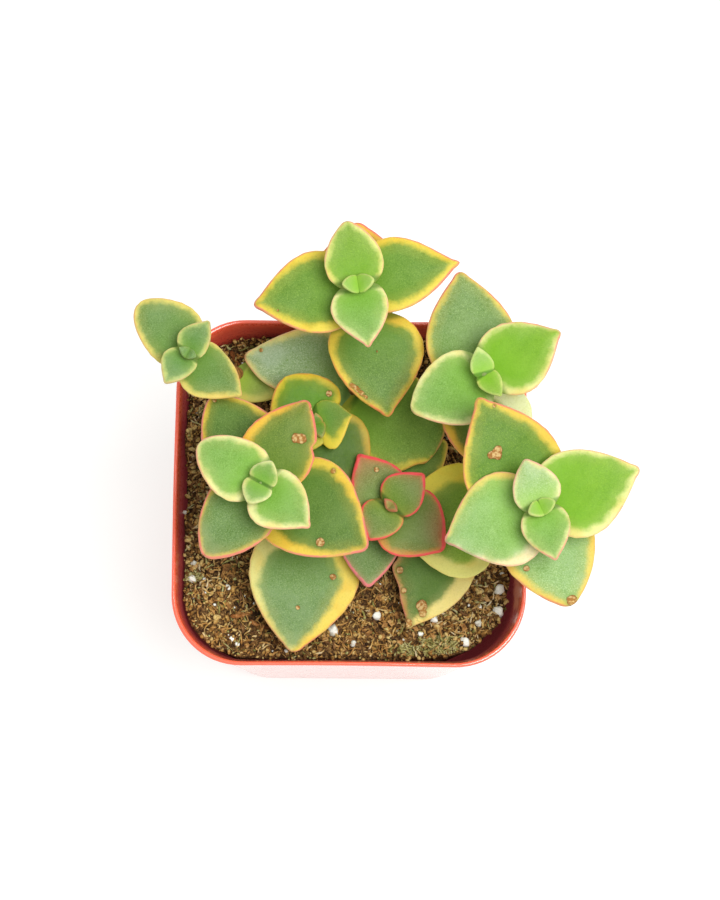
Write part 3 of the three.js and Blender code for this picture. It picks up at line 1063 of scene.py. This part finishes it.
# %% Blade looks
LOOKS = {
    "bud": ("#a0ce5c", "#e8f498", "#f4e8a0", 0.25, 0.1),
    "tender": ("#a2d062", "#eaf4a0", "#f4a69c", 0.3, 0.2),
    "sprout": ("#84b454", "#f0f4ac", "#f4e8a8", 0.3, 0.3),
    "sprig": ("#7aa262", "#dce488", "#f0b088", 0.4, 0.5),
    "young": ("#8ebc5a", "#f6f6a8", "#f79c8c", 0.7, 0.6),
    "fresh": ("#88b436", "#f2f490", "#f79c8c", 0.7, 0.6),
    "lime": ("#8dc032", "#f6f6a0", "#f79a8c", 0.6, 0.4),
    "pale": ("#b2d290", "#f6f7b4", "#f4a69c", 0.7, 0.6),
    "frosted": ("#a0ca76", "#fbf7b4", "#f49c90", 0.9, 0.7),
    "glazed": ("#a6cc80", "#f4da66", "#f4a070", 0.9, 0.9),
    "green": ("#7ea642", "#f6e052", "#f48c7c", 0.9, 0.8),
    "hazy": ("#7a9e54", "#f0e078", "#f0a878", 0.5, 0.8),
    "fern": ("#729b30", "#f2d852", "#f48a74", 0.9, 0.9),
    "sage": ("#739840", "#f6d84c", "#f4925a", 0.9, 1.0),
    "leafy": ("#78a04a", "#f0dc48", "#f0a060", 0.5, 0.5),
    "grey": ("#7e9f5c", "#f2dc66", "#f48e7c", 0.9, 1.0),
    "dusty": ("#8cae66", "#f2dc66", "#f48e7c", 0.9, 1.0),
    "ash": ("#abc592", "#f2e690", "#f4a47c", 0.7, 1.0),
    "deep": ("#6b8e3a", "#f6d64c", "#f58a80", 1.0, 0.9),
    "dark": ("#86ac40", "#f4de50", "#eca65c", 0.6, 0.8),
    # The dim look is the dark look with a lighter flesh: painted light for a leaf in the shade of the leaves
    # above.
    "dim": ("#9abe48", "#f4de50", "#eca65c", 0.6, 0.8),
    "moss": ("#6a9a10", "#eed43c", "#d98a4a", 0.8, 0.3),
    "shade": ("#587a10", "#c8b03c", "#b8803c", 0.5, 0.35),
    "olive": ("#789238", "#facc46", "#f58070", 1.0, 0.9),
    "wine": ("#82984e", "#e4a450", "#fb565a", 1.8, 0.9),
    "rose": ("#84a060", "#f0c890", "#f58888", 1.0, 0.9),
    "rust": ("#7c9456", "#b89a58", "#c05a48", 0.7, 0.5),
    "straw": ("#a9bd58", "#dcd86c", "#d9ac5c", 0.3, 0.3),
    "dry": ("#c99c84", "#f0dccf", "#f4c4b4", 0.7, 0.0),
}
print(len(LOOKS), "looks: flesh, margin, line, strength of the line, frost")


# %% Notes on a blade
STEM_GREEN = "#8fae5c"
FAR = 9.0
USUAL_NOTES = {"rim": FAR, "lead": -FAR, "scar_far": FAR, "scar_way": (FAR,) * 4}
USUAL_NOTES |= dict.fromkeys(("under", "blush", "young", "skin", "frost"), 0.0)
USUAL_NOTES |= dict.fromkeys(("flesh", "margin", "line"), paint(STEM_GREEN))


def note(notes, count, **values):
    """Adds what is known of a body's vertices. What isn't given is as on a stem."""
    for key, usual in USUAL_NOTES.items():
        shape = (count, *np.shape(usual))
        notes[key].append(np.broadcast_to(values.get(key, usual), shape))


print(len(USUAL_NOTES), "notes for each vertex:", *USUAL_NOTES)

# %% Distances on a blade
OUTLINE_STEPS = 180


def rim_distance(points, width, whole, shape):
    """How far each point of a blade lies from its outline, in mm."""
    steps = np.linspace(0, 1, OUTLINE_STEPS)
    halves = [side * width / 2 * outline(steps, np.full(OUTLINE_STEPS, side), *shape) for side in (1, -1)]
    edge = np.concatenate([np.stack([steps * whole, half], axis=1) for half in halves])
    return np.sqrt(((points[:, None, :] - edge[None, :, :]) ** 2).sum(2).min(1))


def scar_way(points, root, heading, scars):
    """The way from the nearest scar to each point in scar radii, and how far that is."""
    way = np.full((len(points), 4), FAR)
    far = np.full(len(points), FAR)
    for *pixel, radius in scars:
        offset = seen_at(pixel, root[2]) - Vector(root)
        turned = Matrix.Rotation(math.radians(-heading), 3, "Z") @ offset
        here = (points - np.array([turned.x + BLADE_ROOT, turned.y])) / radius
        gap = np.hypot(here[:, 0], here[:, 1])
        nearer = gap < far
        way[nearer, :2] = here[nearer]
        way[nearer, 2:] = 0
        far = np.minimum(far, gap)
    return way, far


middle = rim_distance(np.array([[5.0, 0.0]]), 10, 10, (BLADE_POINT, (), (1, 1)))
print("from the middle of a 10 mm blade to its edge:", middle.round(2), "mm")


# %% Colours of a blade
def blade_colours(rim, place, to_left, look, left, right, margins=None, lines=(1, 1)):
    """The colours and the margin of a blade, which may differ at its two sides."""
    flesh, margin, line, blush, frost = LOOKS[look]
    on_left, on_right = [np.array(paint(code)) for code in margins or (margin, margin)]
    widths = []
    for stops in map(np.atleast_1d, (left, right)):
        widths.append(np.interp(place, np.linspace(0, 1, len(stops)), stops))
    share = to_left[:, None]
    return {
        "lead": lerp(widths[1], widths[0], to_left) - rim,
        "blush": blush * (0.35 + 0.75 * place) * lerp(lines[1], lines[0], to_left),
        "frost": frost,
        "flesh": paint(flesh),
        "line": paint(line),
        "margin": on_right * (1 - share) + on_left * share,
    }


print("a blade also notes:", list(blade_colours(0.0, np.zeros(1), np.zeros(1), "deep", 0.4, 0.4)))

# %% [markdown]
# ### Pressing a sphere into a blade
# Each vertex of the sphere gets three shares: how far along the blade it lies, how far to the left and
# how far to the top. The outline turns them into a width, the lens into a thickness, and the arch into
# a reach and a climb. Smooth noise bends the blade a little and frays its edge. Long blades get more
# rings than short ones, so that all outlines stay smooth.


# %% Shares on a blade
def blade_shares(places):
    """Where places on a sphere come to lie on a blade: along it, to its left and to its top."""
    sphere = np.array(places)
    pole = np.arccos(np.clip(-sphere[:, 2], -1, 1))
    along = lerp(pole / np.pi, (1 - np.cos(pole)) / 2, 0.6)
    ring = np.maximum(np.hypot(sphere[:, 0], sphere[:, 1]), 1e-9)
    side, top = [np.clip(sphere[:, i] / ring, -1, 1) * (ring > 1e-6) for i in (0, 1)]
    return along, side, top


print("root, middle and tip lie at", blade_shares([(0, 0, -1), (1, 0, 0), (0, 0, 1)])[0].round(2))

# %% One blade
BLADE_MESH = ((9, 64, 52), (5, 40, 32), (0, 24, 20))
BLADE_LENS = 0.66
BLADE_RIPPLE = 0.02
BLADE_RAGGED = 0.018


def blade(
    pile, notes, root, row, droop=BLADE_DROOP, roll=0, point=BLADE_POINT, full=(1, 1), bites=(), scars=(),
    **hues,
):
    """Adds one blade to the pile. Its row holds what every blade has, and the rest its own traits."""
    heading, rise, length, width, look, left, right = row
    around, rings = next(mesh for longer, *mesh in BLADE_MESH if length > longer)
    bm = bmesh.new()
    verts = bmesh.ops.create_uvsphere(bm, u_segments=around, v_segments=rings, radius=1)["verts"]
    along, side, top = blade_shares([v.co for v in verts])
    share = np.clip(along, 0, 1)
    half = width / 2 * outline(along, side, point, bites, full)
    whole = length + BLADE_ROOT
    seed = Vector(root) + Vector((heading, rise, length))
    wave = np.array([noise.noise(seed + Vector((a * 3, s * 1.5, 0))) for a, s in zip(along, side)])
    ragged = np.array([noise.noise(seed * 2 + Vector((a * 14, np.sign(s), 5))) for a, s in zip(along, side)])
    thickness = BLADE_THICKNESS + BLADE_THICKNESS_PER_LENGTH * length
    thickness = np.minimum(thickness, BLADE_THICKEST_SHARE * half)
    lens = np.sign(top) * np.abs(top) ** BLADE_LENS * thickness / 2
    half = half * (1 + BLADE_RAGGED * ragged)
    across = side * half
    lift = lens + BLADE_CUP * half * side**2 + BLADE_RIPPLE * width * wave * np.sqrt(share)
    reach, climb, angle = blade_arch(along, rise, droop)
    forward = whole * reach - BLADE_ROOT - lift * np.sin(angle)
    flat = np.stack([forward, across, whole * climb + lift * np.cos(angle)])
    turned = Matrix.Translation(root) @ Matrix.Rotation(math.radians(heading), 4, "Z")
    turned = np.array(turned @ Matrix.Rotation(math.radians(roll), 4, "X"))
    placed = turned[:3, :3] @ flat + turned[:3, 3:4]
    for vert, place in zip(verts, placed.T):
        vert.co = place
    gather(pile, bm)

    points = np.stack([along * whole, across], axis=1)
    rim = rim_distance(points, width, whole, (point, bites, full))
    way, far = scar_way(points, root, heading, scars)
    from_root = np.maximum(along * whole - BLADE_ROOT, 0) / length
    to_left = np.clip(0.5 + across / np.maximum(half, 0.5), 0, 1)
    note(
        notes,
        len(along),
        rim=rim,
        scar_way=way,
        scar_far=np.where(top > -0.3, far, FAR),
        under=(top < -0.05).astype(float),
        young=np.exp(-((from_root / lerp(0.5, 0.38, LOOKS[look][4])) ** 2)),
        **blade_colours(rim, share, to_left, look, left, right, **hues),
    )


print("a long blade has", BLADE_MESH[0][1], "segments and", BLADE_MESH[0][2], "rings")

# %% [markdown]
# ## Stems
# The stem of each shoot is a Catmull-Rom curve through a few points, as in the part, and it reaches
# into the peat. Where a leaf pair leaves it, the stem is a little thicker. Young stem is green and old
# stem reddish brown.


# %% Stem curve
def catmull_rom(points, share):
    """A centripetal Catmull-Rom curve through points, at a share of its spans."""
    spans = len(points) - 1
    index = min(int(share * spans), spans - 1)
    weight = share * spans - index
    p1, p2 = points[index], points[index + 1]
    p0 = points[index - 1] if index > 0 else p1 * 2 - p2
    p3 = points[index + 2] if index + 2 <= spans else p2 * 2 - p1
    d0, d1, d2 = [max((b - a).length ** 0.5, 1e-2) for a, b in ((p0, p1), (p1, p2), (p2, p3))]
    t1 = ((p1 - p0) / d0 - (p2 - p0) / (d0 + d1) + (p2 - p1) / d1) * d1
    t2 = ((p2 - p1) / d1 - (p3 - p1) / (d1 + d2) + (p3 - p2) / d2) * d1
    bend = p1 * -3 + p2 * 3 - t1 * 2 - t2
    twist = p1 * 2 - p2 * 2 + t1 + t2
    return p1 + t1 * weight + bend * weight**2 + twist * weight**3


print("half way up a straight stem:", catmull_rom([Vector((0, 0, z)) for z in (0, 5, 10)], 0.5))

# %% Stem
STEM_RADIUS = (1.15, 0.75)
ROOT_DEPTH = 8.0
KNOT_SPAN = 0.03
KNOT_SWELLING = 0.22
BARK_HEIGHT = 22


def stem_points(stem_line):
    """The stem's points and its foot in the peat. A stem line counts its heights from the rim."""
    foot = Vector(stem_line[0]) - Vector((0, 0, ROOT_DEPTH))
    return [point + Vector((0, 0, POT_HEIGHT)) for point in [foot, *map(Vector, stem_line)]]


def share_at(points, height):
    """The share of a stem at a height above the rim, by halving."""
    low, high = 0.0, 1.0
    for _ in range(30):
        middle = (low + high) / 2
        if catmull_rom(points, middle).z < height + POT_HEIGHT:
            low = middle
        else:
            high = middle
    return low


def stem(bm, notes, points, joints):
    def line(share):
        return catmull_rom(points, share)

    def radius(share):
        knot = sum(math.exp(-(((share - joint) / KNOT_SPAN) ** 2)) for joint in joints)
        end = min(1.0, share * 30, (1 - share) * 30 + 0.2)
        return lerp(*STEM_RADIUS, share) * (1 + KNOT_SWELLING * min(knot, 1)) * end

    height = rod(bm, line, radius, 16, 60) - POT_HEIGHT
    note(notes, len(height), skin=np.clip(1.15 - height / BARK_HEIGHT, 0.05, 1))


print("points of a short stem:", stem_points([(0, 0, -5), (0, 0, 5)]))

# %% [markdown]
# ## Leaf flesh
# A leaf shows what lies in its skin, so its finish is built in layers, from the flesh outwards. The
# flesh is a mottled green. Its tiny pale bladders are painted as pale glints, small pits darken it, and
# a bloom of wax greys it in soft clouds, painted lighter and bluer as a sheen. Frost says how much of
# this a blade has. Near its root a young leaf is vivid, and it is painted brighter there, as painted
# light where the leaves above would shade it.

# %% Green flesh
f = Finish("leaf_flesh")
flesh = f.attribute("flesh", "Color")
frost = f.attribute("frost")
young = f.attribute("young")
mottle = f.step(f.grain(0.7, 3, 0.6), 0.35, 0.7)
# Painted light: the pale bladders are painted as bright glints.
bladder_glints = f.step(f.grain(0.18, 1.5), 0.5, 0.68) * frost
aside = f.node("VectorMath", {"operation": "ADD"}, {0: f.place, 1: (1, 1, 1)})
pits = f.step(f.grain(0.28, 2, 0.6, aside), 0.5, 0.36) * (frost * 0.8 + 0.2)
# Painted sheen: the wax bloom is painted lighter and bluer in soft clouds.
bloom_and_sheen = f.step(f.grain(6.5, 2, 0.4), 0.5, 0.68) * frost
dim = f.tint(flesh, (0.66, 0.78, 0.5))
# Painted light: near the root the green is made vivid and brighter, where leaves above would shade it.
vivid_and_lit = f.tint(flesh, (0.92, 1.13, 0.3))
shadows = f.step(f.grain(3.2, 3, 0.55), 0.62, 0.36) * 0.35 + mottle * 0.15 + pits * 0.5
green = f.blend(shadows, flesh, dim)
green = f.blend(bladder_glints * 0.55, green, f.tint(flesh, (1.9, 1.65, 2.1)))
green = f.blend(bloom_and_sheen * 0.5, green, f.tint(flesh, (1.3, 1.2, 1.6)))
green = f.blend(young * 0.85, green, vivid_and_lit)
print("nodes in the green:", len(f.tree.nodes))

# %% [markdown]
# The margin has no chlorophyll: it is cream on young leaves and yellow on old ones. Its inner edge is
# ragged, because the green ends cell by cell, and a thin veil of it reaches further in. Amber clouds
# lie on it. The margin is given a faint emission, a painted glow for light passing through cream tissue.

# %% Cream margin
PAINTED_MARGIN_GLOW = 0.12
margin = f.attribute("margin", "Color")
under = f.attribute("under")
ragged = (f.grain(2.6, 2, 0.6) - 0.5) * 1.5 + (f.grain(0.35, 2) - 0.5) * 0.45
lead = f.attribute("lead") + ragged
yellow = f.step(lead, -1.0, 0.5)
veil = f.step(lead, -2.4, -0.2) * 0.13
amber = f.step(f.grain(4.5, 2), 0.48, 0.64) * 0.45
margin = f.blend(amber, margin, f.tint(margin, (1.0, 0.78, 0.42)))
colour = f.blend(yellow.larger(veil), green, margin)
colour = f.blend(pits * 0.35, colour, f.tint(colour, (0.74, 0.78, 0.6)))
# Painted glow: the margin is given emission, standing in for light through its cream tissue.
glow = f.blend(yellow * (1 - under), BLACK, margin)
glow = f.tint(glow, (PAINTED_MARGIN_GLOW, PAINTED_MARGIN_GLOW, PAINTED_MARGIN_GLOW * 0.7))
print("with the margin:", len(f.tree.nodes))

# %% [markdown]
# The rim is a thin line of red pigment, which the sun brings out. It is broader and spreads further
# into the blade where a leaf blushes more. Where two small leaves meet at their roots, the crease
# between them is painted dark as painted shade.

# %% Pink rim and crease
blush = f.attribute("blush")
edge = (f.attribute("rim") + (f.grain(0.8, 2) - 0.5) * 0.2) / (0.7 + blush * blush * 0.3)
line = f.step(edge, 0.4, 0.18) * (f.step(f.grain(2.6, 2), 0.36, 0.52) * 0.7 + 0.3)
flush = f.step(edge, 1.0, 0.1) * 0.12 + f.step(blush, 1.1, 1.9) * 0.14
colour = f.blend((line + flush) * blush, colour, f.attribute("line", "Color"))
# Painted shade: the crease between two small leaves at their roots is painted dark.
crease_shade = f.step(young, 0.9, 0.98) * 0.85
colour = f.blend(crease_shade, colour, f.tint(vivid_and_lit, (0.3, 0.42, 0.25)))
print("with the rim:", len(f.tree.nodes))

# %% [markdown]
# A scar is a raised, rough plate of cork in a dull halo. Its outline comes from the length of the way
# to the scar's middle, shaken by noise, so that no two scars look alike. The underside of a leaf is
# reddish, and old stem has brown bark.

# %% Scars, underside and bark
way = f.node("VectorMath", {"operation": "LENGTH"}, {0: f.attribute("scar_way", "Vector")}, "Value")
scar = way.larger(f.attribute("scar_far") * 0.55) + (f.grain(0.6, 2) - 0.5) * 0.5
cork = f.step(scar, 1.05, 0.92)
plate = f.blend(f.step(f.grain(0.45, 2), 0.36, 0.58), paint("#ecca88"), paint("#b47c3c"))
plate = f.blend(f.step(scar, 0.72, 0.95) * 0.6, plate, paint("#945c28"))
colour = f.blend(f.step(scar, 2.0, 1.0) * 0.4, colour, dim)
colour = f.blend(cork, colour, plate)
reddish = f.blend(f.grain(2.5, 3), paint("#b9b87c"), paint("#c08a72"))
colour = f.blend(under * 0.45, colour, reddish)
skin = f.attribute("skin")
bark = f.blend(f.step(f.grain(0.6, 3), 0.4, 0.65), paint("#b8803f"), paint("#7c5024"))
colour = f.blend(skin, colour, bark)
waves = f.relief(f.grain(2.2, 2), 0.1, f.relief(f.grain(0.22, 1.5), 0.03))
f.set(
    Base_Color=colour,
    Roughness=0.5 + cork * 0.3 + mottle * 0.08 + skin * 0.2,
    Normal=f.relief(cork, 0.12, waves),
    Specular_IOR_Level=0.22,
    Emission_Color=glow,
    Emission_Strength=1.0,
    Subsurface_Weight=0.2,
    Subsurface_Scale=0.0012,
    Subsurface_Radius=(0.9, 1.0, 0.3),
)
LEAF = f
print("leaf nodes:", len(LEAF.tree.nodes))

# %% [markdown]
# ## The shoots
# Each shoot is given by the points of its stem, in mm from the rim's centre, and by its leaves, which
# stand in opposite pairs, from the lowest pair up. A leaf is its height on the stem, its heading and
# rise in degrees, its length and width, its look, and how wide its margin is at the left and at the
# right, from root to tip. A margin narrower than nothing leaves hardly any yellow. Then come the
# leaf's own traits: `point` is small for a blunt tip, `full` is the swelling of its two sides, and a
# bite is a side, a place along it, a span and a depth. Scars lie where the photograph shows them.


# %% Shoot
class Shoot:
    """One leafy stem: the points of its stem, and its leaves."""

    def __init__(self, name, *stem_line):
        self.name = name
        self.points = stem_points(stem_line)
        self.leaves = []

    def leaf(self, height, *row, **special):
        self.leaves.append((share_at(self.points, height), row, special))

    def scars(self, *spots):
        """Scars on the newest leaf, each at a pixel of the photograph and with a radius in mm."""
        self.leaves[-1][2]["scars"] = spots

    def grow(self):
        bm = bmesh.new()
        notes = {key: [] for key in USUAL_NOTES}
        stem(bm, notes, self.points, sorted({share for share, _, _ in self.leaves}))
        for share, row, special in self.leaves:
            blade(bm, notes, catmull_rom(self.points, share), row, **special)
        joined = {key: np.concatenate(values) for key, values in notes.items()}
        make_piece(self.name + "_leaves", bm, LEAF, self.name, joined)


print("a shoot can:", [name for name in vars(Shoot) if not name.startswith("_")])

# %% The tall stem at the back
shoot = Shoot("shoot_back", (0.5, 15.5, -5), (0.5, 15.5, 2), (1.7, 25.5, 13.5), (1, 27.5, 22), (1, 26.5, 29))
shoot.leaf(3, 162, 5, 18.7, 14.5, "ash", (0.4, 0.3), (1.2, 0.4), roll=-12, full=(0.6, 1.15))
shoot.scars((262, 351, 0.35))
shoot.leaf(
    3, -41, 5, 17, 16.5, "dark", (0.5, -0.8), (1.8, 1.7, 0.1), roll=8, point=0.3,
    bites=[(-1, 0.95, 0.06, 0.45)],
)
shoot.leaf(
    13.5, -74, -5, 16.6, 16.8, "sage", (1.7, 0.9, 0.1), (1.6, 0.6, 0.1), roll=-8, point=0.98, full=(1, 0.79),
)
shoot.scars((351, 386, 0.35), (356, 389, 0.42), (361, 393, 0.4), (366, 397, 0.3), (376, 352, 0.22))
shoot.leaf(13.5, 94, 12, 15.2, 16, "olive", (1.6, 1.2), (1.2, 1))
shoot.leaf(23.5, -170, 0, 16.5, 13, "green", (1.7, 0.5), (1.3, 0.5), point=0.9, full=(1, 1.07))
shoot.scars((278, 312, 0.2))
shoot.leaf(23.5, 14.5, 3, 16.5, 12.5, "green", (1.3, 0.6), (1.5, 0.6), point=1.1, full=(1.06, 0.84))
shoot.leaf(27, 101, 14, 10.2, 9.2, "fresh", (0.5, 0.2), (0.5, 0.2), point=0.66)
shoot.scars((336, 229, 0.25))
shoot.leaf(27, -80, 0, 10, 9.2, "young", (0.6, 0.1), (0.6, 0.1), point=0.95, full=(0.9, 1.05))
for heading in (-171, 9):
    shoot.leaf(28.4, heading, 30, 3, 3, "bud", -0.5, -0.5, point=0.6)
shoot.grow()

# %% The thin stem over the back left of the rim
shoot = Shoot(
    "shoot_back_left", (-17.5, 18.5, -5), (-18.5, 19, 1.5), (-23.5, 19.3, 10), (-25.5, 18.5, 16),
    (-25.5, 17.2, 21),
)
shoot.leaf(1.5, -31, 2, 7.5, 7, "straw", 0.8, 0.8)
shoot.leaf(16, 136, 5, 11.5, 10, "hazy", 0.4, (0.5, 0.6), point=0.5, full=(0.9, 1.1), lines=(1.2, 1))
shoot.leaf(16, -39, 0, 10.7, 10, "hazy", 0.1, (0.5, 0.4), point=0.95, full=(0.72, 1), lines=(0.8, 0.5))
shoot.leaf(19.3, 57, 14, 6.2, 5, "sprig", (0.3, 0.1), (0.3, 0.1), full=(1.2, 0.9))
shoot.leaf(19.3, -125, 9, 6.2, 5.4, "sprig", (0.3, 0.1), (0.4, 0.2), full=(0.9, 1.15))
for heading in (150, -30):
    shoot.leaf(20.6, heading, 35, 2, 1.8, "sprig", -0.6, -0.6, lines=(0, 0))
shoot.grow()

# %% The stem at the back right
shoot = Shoot(
    "shoot_back_right", (16, 12.5, -5), (17, 13, 2), (20, 15, 12), (21, 15, 19.5), (20.6, 13.8, 23.2),
)
shoot.leaf(13, 100, 8, 18, 14.5, "dusty", (0.8, 0.4), (0.5, 0.4), point=0.85)
shoot.scars((508, 304, 0.35))
shoot.leaf(
    13, -80, -4, 15.5, 13.5, "olive", (4.2, 2.6), (1.3, 0.8), full=(1.14, 1), margins=("#f4f8bc", "#facc46"),
    lines=(0.1, 1),
)
shoot.leaf(
    19.5, -152, -2, 13, 12.2, "young", (0.8, 0.4), (1.1, 0.4), point=0.7, full=(1.06, 0.9), lines=(1, 0.3),
)
shoot.leaf(
    19.5, 28, 8, 13.5, 11.8, "lime", (0.7, 0.1), (1.3, 0.1), point=0.9, full=(0.95, 1.05), lines=(1.4, 1.3),
)
shoot.leaf(22.4, 105, 20, 4.4, 3.8, "tender", (-0.3, -0.2), (-0.3, -0.2), point=0.9, lines=(0, 0))
shoot.leaf(22.4, -54, 8, 4.6, 3.8, "lime", (-0.3, -0.2), (-0.3, -0.2), lines=(0, 0))
shoot.grow()

# %% The large stem over the right of the rim
shoot = Shoot(
    "shoot_right", (17, -8.5, -5), (17.5, -8.5, -1), (23.4, -4.8, 5.5), (28.7, -6, 20), (29.1, -8.4, 28.2),
)
shoot.leaf(
    -1, -121, -7, 15.8, 12.4, "deep", (2.8, 1.6), 0.4, point=1.1, full=(0.82, 1.3),
    margins=("#ffec90", "#e0b070"), lines=(0.2, 0.6), bites=[(-1, 0.45, 0.06, 0.1), (-1, 0.7, 0.08, 0.12)],
)
shoot.scars((422, 605, 0.95), (423, 613, 0.6), (408, 622, 0.75), (404, 590, 0.5), (400, 570, 0.6))
shoot.leaf(-1, 60, 5, 10, 8, "deep", (0.8, 0.6), (0.8, 0.6))
# Painted light: this leaf lies under the leaves above, so its dim look and its margins are painted lighter.
shoot.leaf(
    5.5, 186, -6, 15.5, 18, "dim", (2.4, 2.2, 1.4), (3, 2.2), droop=4, point=0.55, full=(1.1, 1),
    margins=("#f6f08a", "#ffee54"), lines=(0.3, 0.7),
)
shoot.leaf(5.5, 8, 8, 13, 11, "deep", (0.8, 0.6), (0.8, 0.6))
shoot.leaf(20, 121, 20, 19, 16, "fern", (0.9, 0.4), (1.2, 1.2, 0.3), point=0.95, full=(1.06, 0.92))
shoot.scars((486, 456, 0.62), (493, 451, 0.68), (493, 457, 0.6), (488, 409, 0.28))
shoot.leaf(
    20, -71, -3, 16.8, 14.8, "glazed", (1.3, 0.9, 0.3), (1.0, 1.1, 0.5), point=0.65, full=(0.97, 1.05),
    lines=(0.4, 1),
)
shoot.scars((526, 569, 0.5), (572, 600, 0.85))
shoot.leaf(
    24, -159, -4, 15.5, 14.8, "frosted", (2.8, 1.6, 0.2, -0.5), (0.9, 0.7, 0.2), point=0.95,
    full=(1.05, 0.97), margins=("#fefad0", "#f6e47c"), lines=(0.7, 1),
)
shoot.leaf(24, 20, 4, 16.5, 13.8, "lime", (0.7, 0.3), (1.4, 0.5), point=0.92, full=(0.95, 1.08))
shoot.leaf(27, 108, 11, 7.8, 7.6, "pale", (0.1, 0.0), (0.4, 0.2), full=(0.92, 1.05))
shoot.leaf(27, -74, 0, 8.5, 7.6, "young", (0.3, 0.0), (0.2, 0.0), point=0.9)
for heading in (-150, 20):
    shoot.leaf(27.8, heading, 30, 2.7, 2.7, "bud", -0.4, -0.4, point=0.6)
shoot.grow()

# %% The short reddish stem in the middle
shoot = Shoot("shoot_centre", (3.2, -3, -5), (3.2, -3, 0.8), (6.4, -4, 6.5), (6.5, -4.5, 9.6))
shoot.leaf(1, -92, 9, 13.5, 10.5, "rose", (-0.2, -0.3), (-0.2, -0.3), roll=-6, lines=(1.1, 1.2))
shoot.leaf(1, 42, 2, 16.6, 9.8, "dark", 0.5, (0.4, 0.3), point=0.65)
shoot.leaf(6.5, 121, 6, 10, 9.2, "wine", (0.1, 0.0), (0.1, 0.0), point=0.9, full=(0.96, 1))
shoot.scars((376, 471, 0.45))
shoot.leaf(6.5, -38, 0, 11, 12, "wine", (0.3, 0.1), (1.1, 0.3), lines=(1.1, 0.7))
shoot.leaf(8.6, 44, 12, 7.5, 7, "wine", -0.2, -0.2, full=(1.1, 1), lines=(0.9, 0.8))
shoot.leaf(
    8.6, -123, 3, 6.5, 7, "wine", (0.2, -0.2), (0.0, -0.2), full=(0.9, 1.12), margins=("#e0c458", "#e4a450"),
    lines=(0.5, 0.9),
)
shoot.leaf(-1.2, 205, -8, 5.2, 3.2, "dry", 0.5, 0.5, bites=[(1, 0.7, 0.1, 0.4)])
for heading in (135, -45):
    shoot.leaf(9.3, heading, 38, 2, 1.7, "rust", 0.2, 0.2)
shoot.grow()

# %% The large stem at the left
shoot = Shoot(
    "shoot_left", (-7, -6.5, -5), (-7.4, -6.5, 2.5), (-13.2, -2, 12.5), (-13.8, -2.6, 18), (-13.7, -4, 24.6),
)
shoot.leaf(
    2, -93.5, -6, 20, 17.2, "grey", (3.2, 2.7, 0.4), (4.0, 1.1, 0.1), roll=-10, point=0.8, full=(1.1, 0.98),
    margins=("#f6dc5c", "#ece48a"), lines=(0.8, 0.5),
)
shoot.scars((333, 576, 0.52), (298, 607, 0.36))
shoot.leaf(2, 90, -3, 10, 9, "deep", (0.8, 0.6), (0.8, 0.6))
shoot.leaf(12.5, 121, 0, 17, 13.5, "deep", 0.4, (0.9, 0.5), point=0.6, full=(0.95, 1.03))
shoot.scars((215, 402, 0.35))
shoot.leaf(12.5, -32, 4, 19, 15.6, "deep", (1.2, 1.4, 0.3), (3.4, 1.3, 0.1), full=(1.12, 0.96))
shoot.scars((334, 474, 0.42), (321, 545, 0.7))
shoot.leaf(
    18, 61, 6, 14.8, 12, "olive", (2.2, 1.2, 0.1), (0.6, 0.1, 0.1), full=(1, 0.96), lines=(1.2, 1.2),
    bites=[(-1, 0.6, 0.05, 0.13)],
)
shoot.scars((297, 440, 0.8), (302, 441, 0.85), (313, 411, 0.3))
shoot.leaf(18, -127, -6, 14.5, 12.2, "grey", (0.4, 0.3), 0.2, point=0.62, full=(0.98, 0.93), lines=(1.5, 1.4))
shoot.leaf(22, 149, 3, 11.4, 10.6, "young", (1.0, 0.3), (0.9, 0.3), point=0.55, full=(1, 0.88))
shoot.leaf(22, -43, 3, 10.5, 9.8, "young", (0.9, 0.3), (1.4, 0.4), point=0.95, full=(0.88, 1.08))
shoot.leaf(23.8, 62, 18, 3.8, 4.6, "sprout", 0.0, 0.0, point=0.7)
shoot.leaf(23.8, -118, 10, 4, 4.8, "sprout", 0.1, 0.1, point=0.7)
shoot.grow()

# %% The short stem with domed leaves
shoot = Shoot("shoot_small", (-5.5, 7.8, -5), (-5.5, 8, 2), (-5.5, 9.3, 7), (-5.3, 9, 9.6))
shoot.leaf(7, 126, 15, 9.3, 12.3, "moss", (0.7, 0.5), (0.9, 0.6), droop=35, point=0.55)
shoot.scars((327, 394, 0.5))
shoot.leaf(7, -47, -8, 12, 11, "shade", (1.2, 0.7), (0.5, 0.3), full=(1.08, 0.95))
shoot.leaf(
    8.7, 11, 11, 5.9, 7.6, "leafy", (-0.5, -0.3), (1.9, 0.2), point=1.0, full=(0.9, 1.28), lines=(0.2, 0.5),
)
shoot.leaf(8.7, -108, 5, 5, 5, "straw", (0.9, 0.8), (0.6, 0.5), margins=("#ccc83c", "#ccc83c"))
shoot.leaf(9.3, 100, 40, 2.0, 2.0, "leafy", -0.9, -0.9)
shoot.leaf(9.3, -72, 20, 3.0, 2.4, "leafy", -0.9, -0.9)
shoot.grow()

# %% [markdown]
